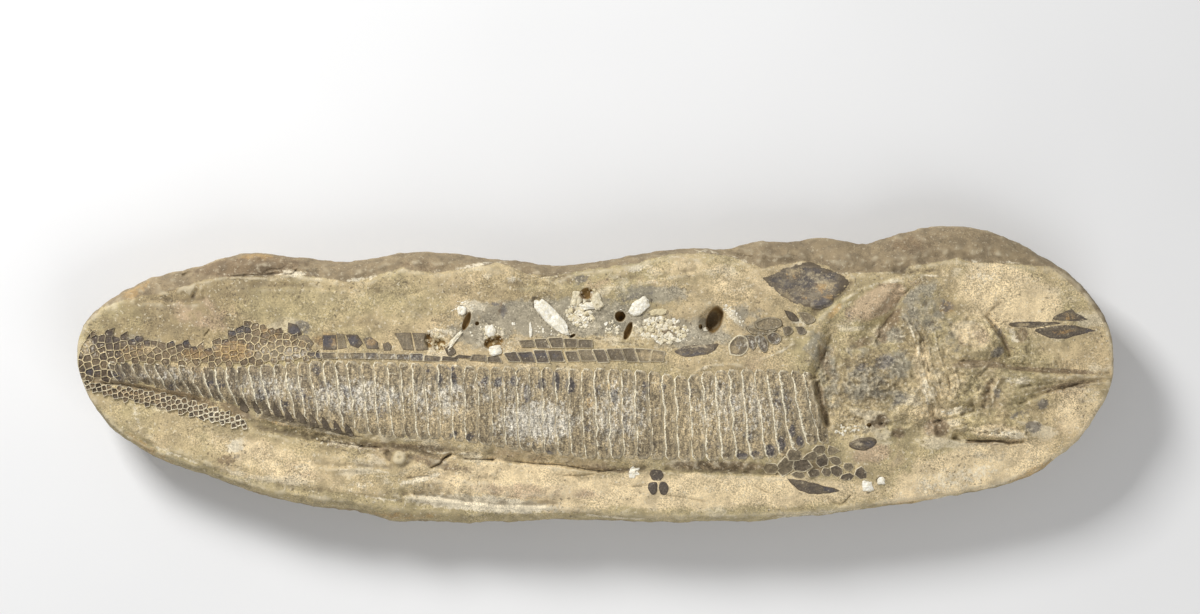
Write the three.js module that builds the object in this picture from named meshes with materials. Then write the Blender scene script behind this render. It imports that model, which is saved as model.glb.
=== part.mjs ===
// Fossil fish slab: one split half of a long limestone nodule, lying on its back, with an armoured,
// long-snouted fish in relief on its upper face. Bone, scale and rock are fused, so it is one solid.
// Millimetres, +Z up. X runs along the fish, head towards +X; Y runs from belly to back.
// The origin is the centre of the slab's bounding box, on the surface that it rests on.
import * as THREE from "three";
import { ImprovedNoise } from "three/addons/math/ImprovedNoise.js";
import { mergeVertices } from "three/addons/utils/BufferGeometryUtils.js";

// Driving dimensions
const slabLength = 660;
const slabWidth = 190;
const faceHeight = 50; // split face above the resting plane, before the relief
const rimHeight = 35; // where the nodule is widest
const undersideRound = 58; // how far in from the rim the underside curves before it is flat
const bodySwell = 6.5; // the fish's flank above the split face

// Mesh density
const stations = 122; // rings along the slab
const faceRows = 31; // steps across the upper face
const undersideRows = 10; // steps across the underside

// The nodule's outline, seen from above, as its edge on the back side and on the belly side.
const tailTip = [-330, 14];
const snoutTip = [330, 6];
const backEdge = [
  [-325, 33], [-313, 45], [-294, 57], [-275, 64], [-250, 70], [-225, 77.5], [-199, 76], [-161, 72],
  [-141, 74], [-122, 78], [-92, 77], [-57, 73], [-22, 70], [0, 72], [28, 77], [66, 80.5], [85, 80],
  [102, 85.5], [117, 84.5], [137, 87.5], [158, 86], [171, 84], [192, 90], [221, 95], [240, 94],
  [262, 87.5], [281, 77.5], [297, 68.5], [310, 55], [322, 40.5], [328, 25],
];
const bellyEdge = [
  [-328, 1], [-322, -16], [-313, -29], [-300, -41], [-284, -51], [-262, -60], [-237, -69], [-212, -78],
  [-187, -83], [-155, -88], [-124, -94], [-92, -95], [-60, -94.5], [-16, -93], [28, -94.5], [79, -94.5],
  [129, -91.5], [167, -87], [205, -82], [230, -77.5], [256, -72], [274, -66.5], [293, -54], [306, -43.5],
  [317, -28], [325, -15],
];

// Width of the weathered bevel between outline and split face, as [x, width] along each side.
const backBevel = [
  [-330, 2], [-307, 5], [-275, 12], [-225, 15], [-196, 11], [-98, 11], [-73, 7], [-35, 9], [8, 8], [47, 5],
  [70, 9], [100, 17], [147, 20], [177, 22], [223, 24], [265, 16], [288, 6], [306, 3], [330, 2],
];
const bellyBevel = [
  [-330, 2], [-300, 4], [-270, 6], [-187, 7], [-124, 11], [-80, 12], [-40, 7], [20, 5], [150, 3], [330, 2],
];

// The raised body of the fish lies between these two lines, from the tail to the gill cover.
const bodyTop = [
  [-330, 24], [-275, 24], [-250, 19], [-209, 30], [-168, 19], [-60, 18], [66, 15], [104, 20], [139, 25],
  [155, 20],
];
const bodyBottom = [
  [-330, -6], [-302, -6], [-262, -14], [-225, -24], [-167, -38], [-124, -44], [-49, -51], [15, -60],
  [66, -61], [116, -60], [139, -55], [155, -45],
];

// Broad forms on the face: centre, half sizes along and across, turn in degrees, height.
const mounds = [
  { name: "gill cover", at: [180, -6], half: [40, 38], turn: 0, height: 6 },
  { name: "cheek", at: [222, 12], half: [40, 34], turn: 20, height: 5 },
  { name: "skull roof", at: [196, 47], half: [46, 15], turn: 16, height: 4 },
  { name: "upper jaw", at: [268, -10], half: [36, 13], turn: 8, height: 3.5 },
  { name: "lower jaw", at: [255, -37], half: [36, 9], turn: -3, height: 5.5 },
  { name: "throat", at: [168, -52], half: [40, 12], turn: -8, height: 2.5 },
  { name: "back fin bed", at: [129, 57], half: [30, 15], turn: -8, height: -3.5 },
  { name: "calcite patch", at: [-12, 34], half: [86, 18], turn: 0, height: -1.5 },
  { name: "boring", at: [74, 34], half: [7, 10], turn: -8, height: -11 },
  { name: "chipped rim", at: [-98, -84], half: [30, 12], turn: 0, height: -4 },
];

// Long forms on the face: a line of points, half width, height at its middle.
const ridges = [
  { name: "snout", line: [[225, 6], [262, 3], [300, 0], [330, -1.5]], half: 8, height: 3.5 },
  { name: "gill furrow", line: [[194, 55], [184, 38], [170, 22]], half: 6, height: -4.5 },
  { name: "shoulder furrow", line: [[150, 24], [143, 2], [147, -26]], half: 5, height: -4.5 },
  { name: "belly furrow", line: [[-287, -7], [-240, -17], [-216, -21]], half: 6, height: -3.5 },
  { name: "belly step", line: [[-222, -34], [-167, -46], [-104, -54], [-50, -58], [14, -66]], half: 5, height: -2.5 },
];

const clamp = THREE.MathUtils.clamp;
const lerp = THREE.MathUtils.lerp;
const noise = new ImprovedNoise();

// Smooth value at x of a list of [x, value] pairs sorted by x.
function along(list, x) {
  const last = list.length - 1;
  if (x <= list[0][0]) return list[0][1];
  if (x >= list[last][0]) return list[last][1];
  const i = list.findIndex((pair) => pair[0] > x);
  const [x0, v0] = list[i - 1];
  const [x1, v1] = list[i];
  return lerp(v0, v1, THREE.MathUtils.smoothstep(x, x0, x1));
}

// The outline as a closed run of samples, split into its back and belly sides, each in order of x.
const control = [tailTip, ...backEdge, snoutTip, ...[...bellyEdge].reverse()];
const curve = new THREE.CatmullRomCurve3(
  control.map(([x, y]) => new THREE.Vector3(x, y, 0)),
  true,
  "centripetal",
);
const outline = curve.getPoints(1400);
const tipAt = (sign) =>
  outline.reduce((best, p) => (sign * p.x > sign * best.x ? p : best));
const tailPoint = tipAt(-1);
const snoutPoint = tipAt(1);
const chordY = (x) =>
  lerp(tailPoint.y, snoutPoint.y, (x - tailPoint.x) / (snoutPoint.x - tailPoint.x));
const side = (sign) =>
  outline
    .filter((p) => p === tailPoint || p === snoutPoint || sign * (p.y - chordY(p.x)) > 0)
    .sort((a, b) => a.x - b.x);
const backSide = side(1);
const bellySide = side(-1);

function edgeY(points, x) {
  const beyond = points.findIndex((p) => p.x > x);
  const i = beyond < 0 ? points.length - 1 : Math.max(beyond, 1);
  const a = points[i - 1];
  const b = points[i];
  const t = clamp((x - a.x) / Math.max(b.x - a.x, 1e-6), 0, 1);
  return lerp(a.y, b.y, t);
}

// Distance in from the outline, and the bevel's width at the nearest point of it.
function rimAt(x, y) {
  let nearest = outline[0];
  let least = Infinity;
  for (const p of outline) {
    const d = Math.hypot(p.x - x, p.y - y);
    if (d < least) {
      least = d;
      nearest = p;
    }
  }
  const bevel = nearest.y > chordY(nearest.x) ? backBevel : bellyBevel;
  return { distance: least, bevel: along(bevel, nearest.x) };
}

// 1 at the centre of an ellipse, falling smoothly to 0 at its edge.
function moundShape({ at, half, turn }, x, y) {
  const a = THREE.MathUtils.degToRad(turn);
  const dx = x - at[0];
  const dy = y - at[1];
  const u = (dx * Math.cos(a) + dy * Math.sin(a)) / half[0];
  const v = (dy * Math.cos(a) - dx * Math.sin(a)) / half[1];
  return Math.max(0, 1 - u * u - v * v) ** 0.8;
}

// 1 on a line of points, falling smoothly to 0 at half its width and fading at its two ends.
function ridgeShape({ line, half }, x, y) {
  let best = 0;
  for (let i = 1; i < line.length; i += 1) {
    const [ax, ay] = line[i - 1];
    const [bx, by] = line[i];
    const length = Math.hypot(bx - ax, by - ay);
    const t = clamp(((x - ax) * (bx - ax) + (y - ay) * (by - ay)) / length ** 2, 0, 1);
    const d = Math.hypot(x - lerp(ax, bx, t), y - lerp(ay, by, t));
    best = Math.max(best, 1 - clamp(d / half, 0, 1) ** 2);
  }
  return best;
}

// Height of the fish's swollen flank at (x, y): a low arch between its top and bottom lines.
function bodyHeight(x, y) {
  const top = along(bodyTop, x);
  const bottom = along(bodyBottom, x);
  const across = (2 * (y - bottom)) / (top - bottom) - 1;
  const growth = lerp(0.55, 1, THREE.MathUtils.smoothstep(x, -330, -180));
  const shoulder = 1 - THREE.MathUtils.smoothstep(x, 135, 155);
  return bodySwell * growth * shoulder * Math.sqrt(Math.max(0, 1 - across ** 2));
}

const rock = (x, y, size) => noise.noise(x / size, y / size, 0.5);

// Height of the nodule's widest line near (x, y).
const rimAround = (x, y) => rimHeight + 4 * rock(x, y, 110);

// Height of the upper face at (x, y).
function upperHeight(x, y) {
  const { distance, bevel } = rimAt(x, y);
  const crown = 2.5 * (1 - (x / 330) ** 2) - 3 * (y / 95) ** 2;
  let face = faceHeight + crown + 1.6 * rock(x, y, 70) + 0.6 * rock(x, y, 22);
  face += bodyHeight(x, y);
  for (const mound of mounds) face += mound.height * moundShape(mound, x, y);
  for (const ridge of ridges) face += ridge.height * ridgeShape(ridge, x, y);
  const t = clamp(distance / bevel, 0, 1);
  return lerp(rimAround(x, y), face, Math.sin((t ** 0.85 * Math.PI) / 2));
}

// Height of the underside: a quarter ellipse in from the rim, then one flat face to rest on.
function lowerHeight(x, y) {
  const { distance } = rimAt(x, y);
  const round = undersideRound + 8 * rock(x, y, 75);
  const t = clamp(distance / round, 0, 1);
  const hollows = 3 * rock(x, y, 48) * Math.sin(Math.PI * t);
  return Math.max(0, rimAround(x, y) * (1 - Math.sqrt(1 - (1 - t) ** 2)) + hollows * (1 - t));
}

// Even steps, gathered a little towards both ends.
function gathered(t, share) {
  return lerp(t, (1 - Math.cos(Math.PI * t)) / 2, share);
}

// The slab is a sphere whose poles are pulled out to the tail and snout tips: its rings become the
// stations along the slab, and each ring runs up over the face and back under it.
function slabGeometry() {
  const around = faceRows + undersideRows;
  const geometry = new THREE.SphereGeometry(1, around, stations);
  const position = geometry.getAttribute("position");
  for (let ring = 0; ring <= stations; ring += 1) {
    const x = lerp(tailPoint.x, snoutPoint.x, gathered(ring / stations, 0.6));
    const low = edgeY(bellySide, x);
    const high = edgeY(backSide, x);
    for (let step = 0; step <= around; step += 1) {
      const onFace = step <= faceRows;
      const t = onFace ? step / faceRows : 1 - (step - faceRows) / undersideRows;
      const y = lerp(low, high, gathered(t, onFace ? 0.45 : 0.7));
      const atRim = t === 0 || t === 1 || ring === 0 || ring === stations;
      const z = atRim ? rimAround(x, y) : onFace ? upperHeight(x, y) : lowerHeight(x, y);
      position.setXYZ(ring * (around + 1) + step, x, y, z);
    }
  }
  geometry.deleteAttribute("normal");
  geometry.deleteAttribute("uv");
  const closed = mergeVertices(geometry, 1e-3);
  centre(closed);
  closed.computeVertexNormals();
  return closed;
}

// Puts the bounding box's centre over the origin, its underside on Z 0 and its sides at the true size.
function centre(geometry) {
  geometry.computeBoundingBox();
  const { min, max } = geometry.boundingBox;
  geometry.translate(-(min.x + max.x) / 2, -(min.y + max.y) / 2, -min.z);
  geometry.scale(slabLength / (max.x - min.x), slabWidth / (max.y - min.y), 1);
}

const limestone = new THREE.MeshStandardMaterial({ color: "#a89a78", roughness: 0.9, metalness: 0 });

const slab = new THREE.Mesh(slabGeometry(), limestone);
slab.name = "fossil_slab";

const part = new THREE.Group();
part.name = "fossil_fish_slab";
part.add(slab);

export default part;
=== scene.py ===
# Looks for the fossil fish slab: half of a split limestone nodule with an armour-scaled fish in relief.
# Points in the lists are millimetres in the slab's frame: X towards the snout, Y towards the fish's back.
import math
import random
import bpy
import numpy as np
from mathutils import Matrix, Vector
from mathutils.bvhtree import BVHTree


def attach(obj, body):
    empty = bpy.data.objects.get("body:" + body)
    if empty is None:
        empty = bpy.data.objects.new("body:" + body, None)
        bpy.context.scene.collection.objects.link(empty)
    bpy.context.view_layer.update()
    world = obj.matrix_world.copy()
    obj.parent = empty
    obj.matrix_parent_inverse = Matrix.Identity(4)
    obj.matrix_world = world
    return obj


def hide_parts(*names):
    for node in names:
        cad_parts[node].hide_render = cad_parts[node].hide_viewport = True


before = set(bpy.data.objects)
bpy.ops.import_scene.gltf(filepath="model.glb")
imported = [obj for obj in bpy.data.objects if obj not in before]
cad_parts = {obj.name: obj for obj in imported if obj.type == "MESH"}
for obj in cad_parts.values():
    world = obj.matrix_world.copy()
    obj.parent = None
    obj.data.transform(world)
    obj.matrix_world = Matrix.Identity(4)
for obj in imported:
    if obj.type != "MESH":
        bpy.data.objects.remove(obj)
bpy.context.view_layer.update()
mm = 0.001


# Camera and light
view = {"centre": (2.8, 42.6), "faceHeight": 55, "distance": 2200, "width": 758}
lamps = {
    # name: place (m), size (m), power (W)
    "keyLamp": ((-1.0, 1.15, 1.3), 0.6, 39),
    "fillLamp": ((0.7, -1.2, 1.3), 1.4, 13),
}
skyGlow = 0.25


def setCamera():
    data = bpy.data.cameras.new("slabCamera")
    data.sensor_width = 36
    data.lens = data.sensor_width * view["distance"] / view["width"]
    camera = bpy.data.objects.new("slabCamera", data)
    x, y = view["centre"]
    camera.location = (x * mm, y * mm, (view["faceHeight"] + view["distance"]) * mm)
    bpy.context.scene.collection.objects.link(camera)
    bpy.context.scene.camera = camera


def setLamps():
    for name, (place, size, power) in lamps.items():
        data = bpy.data.lights.new(name, "AREA")
        data.size = size
        data.energy = power
        lamp = bpy.data.objects.new(name, data)
        lamp.location = place
        lamp.rotation_euler = (-Vector(place)).to_track_quat("-Z", "Y").to_euler()
        bpy.context.scene.collection.objects.link(lamp)
    world = bpy.data.worlds.new("softSky")
    world.use_nodes = True
    world.node_tree.nodes["Background"].inputs["Color"].default_value = (1, 1, 1, 1)
    world.node_tree.nodes["Background"].inputs["Strength"].default_value = skyGlow
    bpy.context.scene.world = world
    bpy.context.scene.view_settings.view_transform = "Standard"


setCamera()
setLamps()
print("camera and lamps set")


# Small tools
def selectOnly(piece):
    bpy.ops.object.select_all(action="DESELECT")
    piece.select_set(True)
    bpy.context.view_layer.objects.active = piece


def edit(piece, kind="FACE"):
    selectOnly(piece)
    bpy.ops.object.mode_set(mode="EDIT")
    bpy.ops.mesh.select_mode(type=kind)
    bpy.ops.mesh.select_all(action="DESELECT")


def endEdit():
    bpy.ops.object.mode_set(mode="OBJECT")


def editFaces(piece, chosen):
    # opens edit mode with only the chosen faces selected
    selectOnly(piece)
    bpy.context.tool_settings.mesh_select_mode = (False, False, True)
    mesh = piece.data
    mesh.vertices.foreach_set("select", np.zeros(len(mesh.vertices), bool))
    mesh.edges.foreach_set("select", np.zeros(len(mesh.edges), bool))
    mesh.polygons.foreach_set("select", chosen)
    bpy.ops.object.mode_set(mode="EDIT")


def readPoints(piece, what="co"):
    found = np.empty(len(piece.data.vertices) * 3, np.float32)
    piece.data.vertices.foreach_get(what, found)
    return found.reshape(-1, 3).astype(float) * (1000 if what == "co" else 1)


def writePoints(piece, points):
    piece.data.vertices.foreach_set("co", (points * mm).astype(np.float32).ravel())
    piece.data.update()


def faceCentres(piece):
    found = np.empty(len(piece.data.polygons) * 3, np.float32)
    piece.data.polygons.foreach_get("center", found)
    return found.reshape(-1, 3).astype(float) * 1000


def paint(piece, name, values):
    # a painted mask, 0 to 1, that the finishes read by its name
    layers = piece.data.attributes
    layer = layers.get(name) or layers.new(name, "FLOAT", "POINT")
    layer.data.foreach_set("value", np.clip(values, 0, 1).astype(np.float32))


def smooth(t):
    t = np.clip(t, 0, 1)
    return t * t * (3 - 2 * t)


def lumpy(points, size, seed):
    # smooth random field from -1 to 1, the same on every run
    p = points[:, :2] / size + seed * 19.19
    cell = np.floor(p).astype(np.int64)
    t = smooth(p - cell)

    def corner(dx, dy):
        n = (cell[:, 0] + dx) * 374761393 + (cell[:, 1] + dy) * 668265263 + seed * 974711
        n = ((n ^ (n >> 13)) * 1274126177) & 0x7FFFFFFF
        return ((n ^ (n >> 16)) & 0xFFFF) / 32767.5 - 1

    low = corner(0, 0) * (1 - t[:, 0]) + corner(1, 0) * t[:, 0]
    high = corner(0, 1) * (1 - t[:, 0]) + corner(1, 1) * t[:, 0]
    return low * (1 - t[:, 1]) + high * t[:, 1]


def lineAt(line, x):
    # height of a line of [x, y] points above x
    return np.interp(x, [p[0] for p in line], [p[1] for p in line])


def flow(line, steps=5):
    # smooth run of points through a few placed ones
    p = np.array([line[0], *line, line[-1]], float)
    out = []
    for i in range(1, len(p) - 2):
        for t in np.linspace(0, 1, steps, endpoint=False):
            a = 2 * p[i] + (p[i + 1] - p[i - 1]) * t
            b = (2 * p[i - 1] - 5 * p[i] + 4 * p[i + 1] - p[i + 2]) * t**2
            c = (3 * p[i] - p[i - 1] - 3 * p[i + 1] + p[i + 2]) * t**3
            out.append((a + b + c) / 2)
    return np.array(out + [p[-1]])


def nearLine(points, line):
    # distance from a line, the side (1 is left of its run) and how far along it, 0 to 1
    best = np.full(len(points), 1e9)
    side = np.ones(len(points))
    along = np.zeros(len(points))
    run = flow(line) if len(line) > 2 else np.array(line, float)
    for i in range(len(run) - 1):
        d = run[i + 1] - run[i]
        to = points[:, :2] - run[i]
        t = np.clip(to @ d / (d @ d + 1e-9), 0, 1)
        off = to - t[:, None] * d
        distance = np.hypot(off[:, 0], off[:, 1])
        closer = distance < best
        best[closer] = distance[closer]
        side[closer] = np.sign(d[0] * off[:, 1] - d[1] * off[:, 0])[closer]
        along[closer] = ((i + t) / (len(run) - 1))[closer]
    return best, side, along


def strokeShape(points, kind, half, line, seed=1):
    # 0 to 1 across one stroke: a groove falls off on both sides of its line, a ledge only to the right
    # of the line's run and a step only to the left
    run = np.array(line, float)
    reach = half * 1.6 + 2
    near = np.all((points[:, :2] > run.min(0) - reach) & (points[:, :2] < run.max(0) + reach), axis=1)
    shape = np.zeros(len(points))
    if not near.any():
        return shape
    spot = points[near]
    distance, side, along = nearLine(spot, line)
    ends = smooth(np.minimum(along, 1 - along) * 9 + 0.25)
    width = half
    if kind in ("ledge", "step"):
        gentle = side < 0 if kind == "ledge" else side > 0
        width = np.where(gentle, half, max(0.9, 0.26 * half))
    distance = distance * (1 + 0.3 * lumpy(spot, 2.4, seed)) + 0.3 * width * lumpy(spot, 6, seed + 5)
    shape[near] = smooth(1 - np.maximum(distance, 0) / width) * ends
    return shape


def ovalReach(points, x, y, halfX, halfY, turn):
    # 0 at the oval's centre, 1 on its outline
    a = math.radians(turn)
    dx, dy = points[:, 0] - x, points[:, 1] - y
    u = (dx * math.cos(a) + dy * math.sin(a)) / halfX
    v = (dy * math.cos(a) - dx * math.sin(a)) / halfY
    return np.hypot(u, v)


def spotShape(points, spots):
    # soft ovals: x, y, half length, half width, turn in degrees, strength
    total = np.zeros(len(points))
    for x, y, halfX, halfY, turn, strength in spots:
        reach = ovalReach(points, x, y, halfX, halfY, turn)
        total = np.maximum(total, strength * smooth((1.25 - reach) / 0.9))
    return total


def useModifier(piece, kind, **settings):
    selectOnly(piece)
    modifier = piece.modifiers.new("work", kind)
    for name, value in settings.items():
        setattr(modifier, name, value)
    bpy.ops.object.modifier_apply(modifier=modifier.name)


def displace(piece, strength, weights, texture=None, direction="Z"):
    # moves the surface by strength millimetres where the weights are, along Z or its own normal
    settings = {"strength": strength * mm, "direction": direction, "mid_level": 0.5 if texture else 0}
    if texture:
        settings["texture"] = texture
        settings["texture_coords"] = "LOCAL"
    group = None
    if weights is not None:
        group = piece.vertex_groups.new(name="relief")
        for index in np.flatnonzero(weights > 0.004):
            group.add([int(index)], float(weights[index]), "REPLACE")
        settings["vertex_group"] = "relief"
    useModifier(piece, "DISPLACE", **settings)
    if group:
        piece.vertex_groups.remove(piece.vertex_groups["relief"])


def shapeRelief(piece, field):
    # field is the wanted rise in millimetres at each point: one pass raises, one lowers
    for sign in (1, -1):
        amount = np.clip(sign * field, 0, None)
        if amount.max() > 0.01:
            displace(piece, sign * amount.max(), amount / amount.max())


def cloud(name, size, kind="CLOUDS"):
    texture = bpy.data.textures.new(name, kind)
    texture.noise_scale = size * mm
    if kind == "CLOUDS":
        texture.noise_depth = 3
    return texture


coarseCloud = cloud("coarseCloud", 26)
middleCloud = cloud("middleCloud", 7)
fineCloud = cloud("fineCloud", 2.2)
chipCells = cloud("chipCells", 9, "VORONOI")
plateCells = cloud("plateCells", 12, "VORONOI")
plateCells.weight_1 = -1
plateCells.weight_2 = 1
boneRidges = cloud("boneRidges", 9, "MUSGRAVE")
fineRidges = cloud("fineRidges", 3.6, "MUSGRAVE")
for texture in (boneRidges, fineRidges):
    texture.musgrave_type = "RIDGED_MULTIFRACTAL"
    texture.noise_intensity = 0.6


def neighbourMean(piece, values, rounds):
    mesh = piece.data
    ends = np.empty(len(mesh.edges) * 2, np.int64)
    mesh.edges.foreach_get("vertices", ends)
    a, b = ends.reshape(-1, 2).T
    count = np.bincount(a, minlength=len(values)) + np.bincount(b, minlength=len(values))
    for _ in range(rounds):
        total = np.bincount(a, values[b], len(values)) + np.bincount(b, values[a], len(values))
        values = total / np.maximum(count, 1)
    return values


def paintHollows(piece, rounds=4, fullDepth=0.5):
    # 0.5 where level, towards 1 in hollows and 0 on raised edges
    points = readPoints(piece)
    mean = np.stack([neighbourMean(piece, points[:, i], rounds) for i in range(3)], axis=1)
    depth = ((mean - points) * readPoints(piece, "normal")).sum(1)
    depth = neighbourMean(piece, depth, 1)
    paint(piece, "hollow", 0.5 + 0.5 * depth / fullDepth)


def finishPiece(piece, name, material, angle=60):
    piece.name = piece.data.name = name
    selectOnly(piece)
    bpy.ops.object.shade_smooth_by_angle(angle=math.radians(angle))
    piece.data.materials.clear()
    piece.data.materials.append(material)
    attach(piece, "root")
    print(name, "made:", sum(len(p.vertices) - 2 for p in piece.data.polygons), "triangles")


# Finishes
def put(tree, kind, sockets=None, **settings):
    node = tree.nodes.new("ShaderNode" + kind)
    for name, value in settings.items():
        setattr(node, name, value)
    for name, value in (sockets or {}).items():
        if isinstance(value, bpy.types.NodeSocket):
            tree.links.new(value, node.inputs[name])
        else:
            node.inputs[name].default_value = value
    return node


def rgba(colour):
    return colour if isinstance(colour, bpy.types.NodeSocket) else (*colour, 1)


def mixColour(tree, factor, a, b, kind="MIX"):
    node = put(tree, "Mix", data_type="RGBA", blend_type=kind)
    for index, value in ((0, factor), (6, rgba(a)), (7, rgba(b))):
        if isinstance(value, bpy.types.NodeSocket):
            tree.links.new(value, node.inputs[index])
        else:
            node.inputs[index].default_value = value
    return node.outputs[2]


def sums(tree, kind, a, b):
    return put(tree, "Math", {0: a, 1: b}, operation=kind).outputs[0]


def times(tree, a, b):
    return sums(tree, "MULTIPLY", a, b)


def plus(tree, a, b):
    return sums(tree, "ADD", a, b)


def minus(tree, a, b):
    return sums(tree, "SUBTRACT", a, b)


def stretched(tree, where, scale):
    return put(tree, "Mapping", {"Vector": where, "Scale": scale}).outputs[0]


def shrunk(tree, where, size):
    # the same place, measured in units of size
    node = put(tree, "VectorMath", {0: where}, operation="DIVIDE")
    tree.links.new(size, node.inputs[1])
    return node.outputs[0]


def levels(tree, value, low, high, toLow=0.0, toHigh=1.0):
    sockets = {"Value": value, "From Min": low, "From Max": high, "To Min": toLow, "To Max": toHigh}
    return put(tree, "MapRange", sockets, interpolation_type="SMOOTHSTEP").outputs["Result"]


def noise(tree, where, size, detail, rough):
    sockets = {"Vector": where, "Scale": 1000 / size, "Detail": detail, "Roughness": rough}
    return put(tree, "TexNoise", sockets).outputs["Fac"]


def mask(tree, name):
    return put(tree, "Attribute", attribute_name=name).outputs["Fac"]


def shaded(tree, colour, light):
    # darkens or lightens a colour by a grey amount round 1
    grey = put(tree, "CombineColor", {i: light for i in range(3)}).outputs[0]
    return mixColour(tree, 1.0, colour, grey, "MULTIPLY")


def newGroup(name, inputs, outputs):
    tree = bpy.data.node_groups.new(name, "ShaderNodeTree")
    for socketName, kind, value in inputs:
        socket = tree.interface.new_socket(socketName, in_out="INPUT", socket_type="NodeSocket" + kind)
        if value is not None:
            socket.default_value = value
    for socketName, kind in outputs:
        tree.interface.new_socket(socketName, in_out="OUTPUT", socket_type="NodeSocket" + kind)
    return tree, tree.nodes.new("NodeGroupInput").outputs, tree.nodes.new("NodeGroupOutput").inputs


def useGroup(tree, group, sockets):
    node = tree.nodes.new("ShaderNodeGroup")
    node.node_tree = group
    for name, value in sockets.items():
        if isinstance(value, bpy.types.NodeSocket):
            tree.links.new(value, node.inputs[name])
        else:
            node.inputs[name].default_value = value
    return node.outputs


def makeGrainGroup():
    # rock grain: fine light and dark, larger mottling, dark specks, pale flecks and a height for bump
    tree, given, out = newGroup(
        "rockGrain",
        [("Where", "Vector", None), ("Size", "Float", 1.0), ("Specks", "Float", 0.5),
            ("Flecks", "Float", 0.5)],
        [("Grain", "Float"), ("Mottle", "Float"), ("Specks", "Float"), ("Flecks", "Float"),
            ("Height", "Float")],
    )
    at = shrunk(tree, given["Where"], given["Size"])
    fine = noise(tree, at, 1.0, 4, 0.74)
    gravel = noise(tree, at, 3.2, 4, 0.65)
    mottle = noise(tree, at, 9, 5, 0.65)
    crowd = levels(tree, noise(tree, at, 22, 4, 0.6), 0.4, 0.6, 0.0, 0.15)
    speckEdge = minus(tree, times(tree, given["Specks"], 0.2), crowd)
    specks = levels(tree, plus(tree, noise(tree, at, 1.9, 2, 0.5), speckEdge), 0.70, 0.76)
    fleckEdge = times(tree, given["Flecks"], 0.15)
    fleckAt = put(tree, "VectorMath", {0: at, 1: (0.31, 0.17, 0.05)}, operation="ADD").outputs[0]
    flecks = levels(tree, plus(tree, noise(tree, fleckAt, 1.9, 2, 0.5), fleckEdge), 0.70, 0.76)
    height = plus(tree, times(tree, fine, 0.45), times(tree, gravel, 0.7))
    height = minus(tree, height, times(tree, specks, 0.25))
    for name, value in (("Grain", fine), ("Mottle", mottle), ("Specks", specks), ("Flecks", flecks)):
        tree.links.new(value, out[name])
    tree.links.new(height, out["Height"])
    return tree


def makeHollowShadeGroup():
    # painted shade darkens the hollows and a painted highlight lightens the raised edges
    tree, given, out = newGroup(
        "hollowShadeAndEdgeHighlight",
        [
            ("Colour", "Color", (0.5, 0.5, 0.5, 1)), ("Hollow", "Float", 0.5), ("Grain", "Float", 0.5),
            ("Hollow Shade", "Float", 0.6), ("Edge Highlight", "Float", 0.4),
            ("Shade Colour", "Color", (0.11, 0.08, 0.045, 1)), ("Highlight Colour", "Color", (0.78, 0.68, 0.48, 1)),
        ],
        [("Colour", "Color")],
    )
    uneven = times(tree, minus(tree, given["Grain"], 0.5), 0.5)
    depth = plus(tree, given["Hollow"], uneven)
    hollowShade = times(tree, levels(tree, depth, 0.54, 0.95), given["Hollow Shade"])
    edgeHighlight = times(tree, levels(tree, depth, 0.45, 0.08), given["Edge Highlight"])
    colour = mixColour(tree, edgeHighlight, given["Colour"], given["Highlight Colour"])
    colour = mixColour(tree, hollowShade, colour, given["Shade Colour"])
    tree.links.new(colour, out["Colour"])
    return tree


def makeBlotchGroup():
    # turns a soft painted spot into a ragged blotch
    tree, given, out = newGroup(
        "raggedBlotch",
        [("Where", "Vector", None), ("Spot", "Float", 0.0), ("Size", "Float", 3.0), ("Ragged", "Float", 0.8)],
        [("Mask", "Float")],
    )
    swirl = noise(tree, shrunk(tree, given["Where"], given["Size"]), 1, 5, 0.7)
    push = times(tree, minus(tree, swirl, 0.5), times(tree, given["Ragged"], 1.6))
    inside = sums(tree, "MINIMUM", times(tree, given["Spot"], 8), 1)
    edge = plus(tree, given["Spot"], times(tree, push, inside))
    tree.links.new(levels(tree, edge, 0.28, 0.68), out["Mask"])
    return tree


def makeRimGroup():
    # a painted rim, broken up by a noise and kept inside its own edge
    tree, given, out = newGroup(
        "wornRim",
        [
            ("Rim", "Float", 0.0), ("Swirl", "Float", 0.5), ("Wear", "Float", 1.0),
            ("Low", "Float", 0.35), ("High", "Float", 0.8),
        ],
        [("Mask", "Float")],
    )
    broken = times(tree, minus(tree, given["Swirl"], 0.5), given["Wear"])
    line = levels(tree, plus(tree, given["Rim"], broken), given["Low"], given["High"])
    inside = sums(tree, "MINIMUM", times(tree, given["Rim"], 6), 1)
    tree.links.new(times(tree, line, inside), out["Mask"])
    return tree


rockGrain = makeGrainGroup()
hollowShadeAndEdgeHighlight = makeHollowShadeGroup()
raggedBlotch = makeBlotchGroup()
wornRim = makeRimGroup()


def newFinish(name):
    material = bpy.data.materials.new(name)
    material.use_nodes = True
    tree = material.node_tree
    tree.nodes.clear()
    where = put(tree, "TexCoord").outputs["Object"]
    return material, tree, where


def addBlotches(tree, where, colour, blotches):
    # name of the painted mask, size in mm, raggedness, strength, colour
    for name, size, ragged, strength, tone in blotches:
        sockets = {"Where": where, "Spot": mask(tree, name), "Size": size, "Ragged": ragged}
        amount = times(tree, useGroup(tree, raggedBlotch, sockets)["Mask"], strength)
        colour = mixColour(tree, amount, colour, tone)
    return colour


def rimMask(tree, swirl, wear, low, high):
    sockets = {"Rim": mask(tree, "rim"), "Swirl": swirl, "Wear": wear, "Low": low, "High": high}
    return useGroup(tree, wornRim, sockets)["Mask"]


# painted shade in the hollows and painted highlight on raised edges, read from the hollow mask
def addHollowShadeAndHighlight(tree, colour, grain, hollowShade, edgeHighlight, **colours):
    sockets = {"Colour": colour, "Hollow": mask(tree, "hollow"), "Grain": grain, "Hollow Shade": hollowShade, "Edge Highlight": edgeHighlight}
    sockets.update(colours)
    return useGroup(tree, hollowShadeAndEdgeHighlight, sockets)["Colour"]


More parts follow.
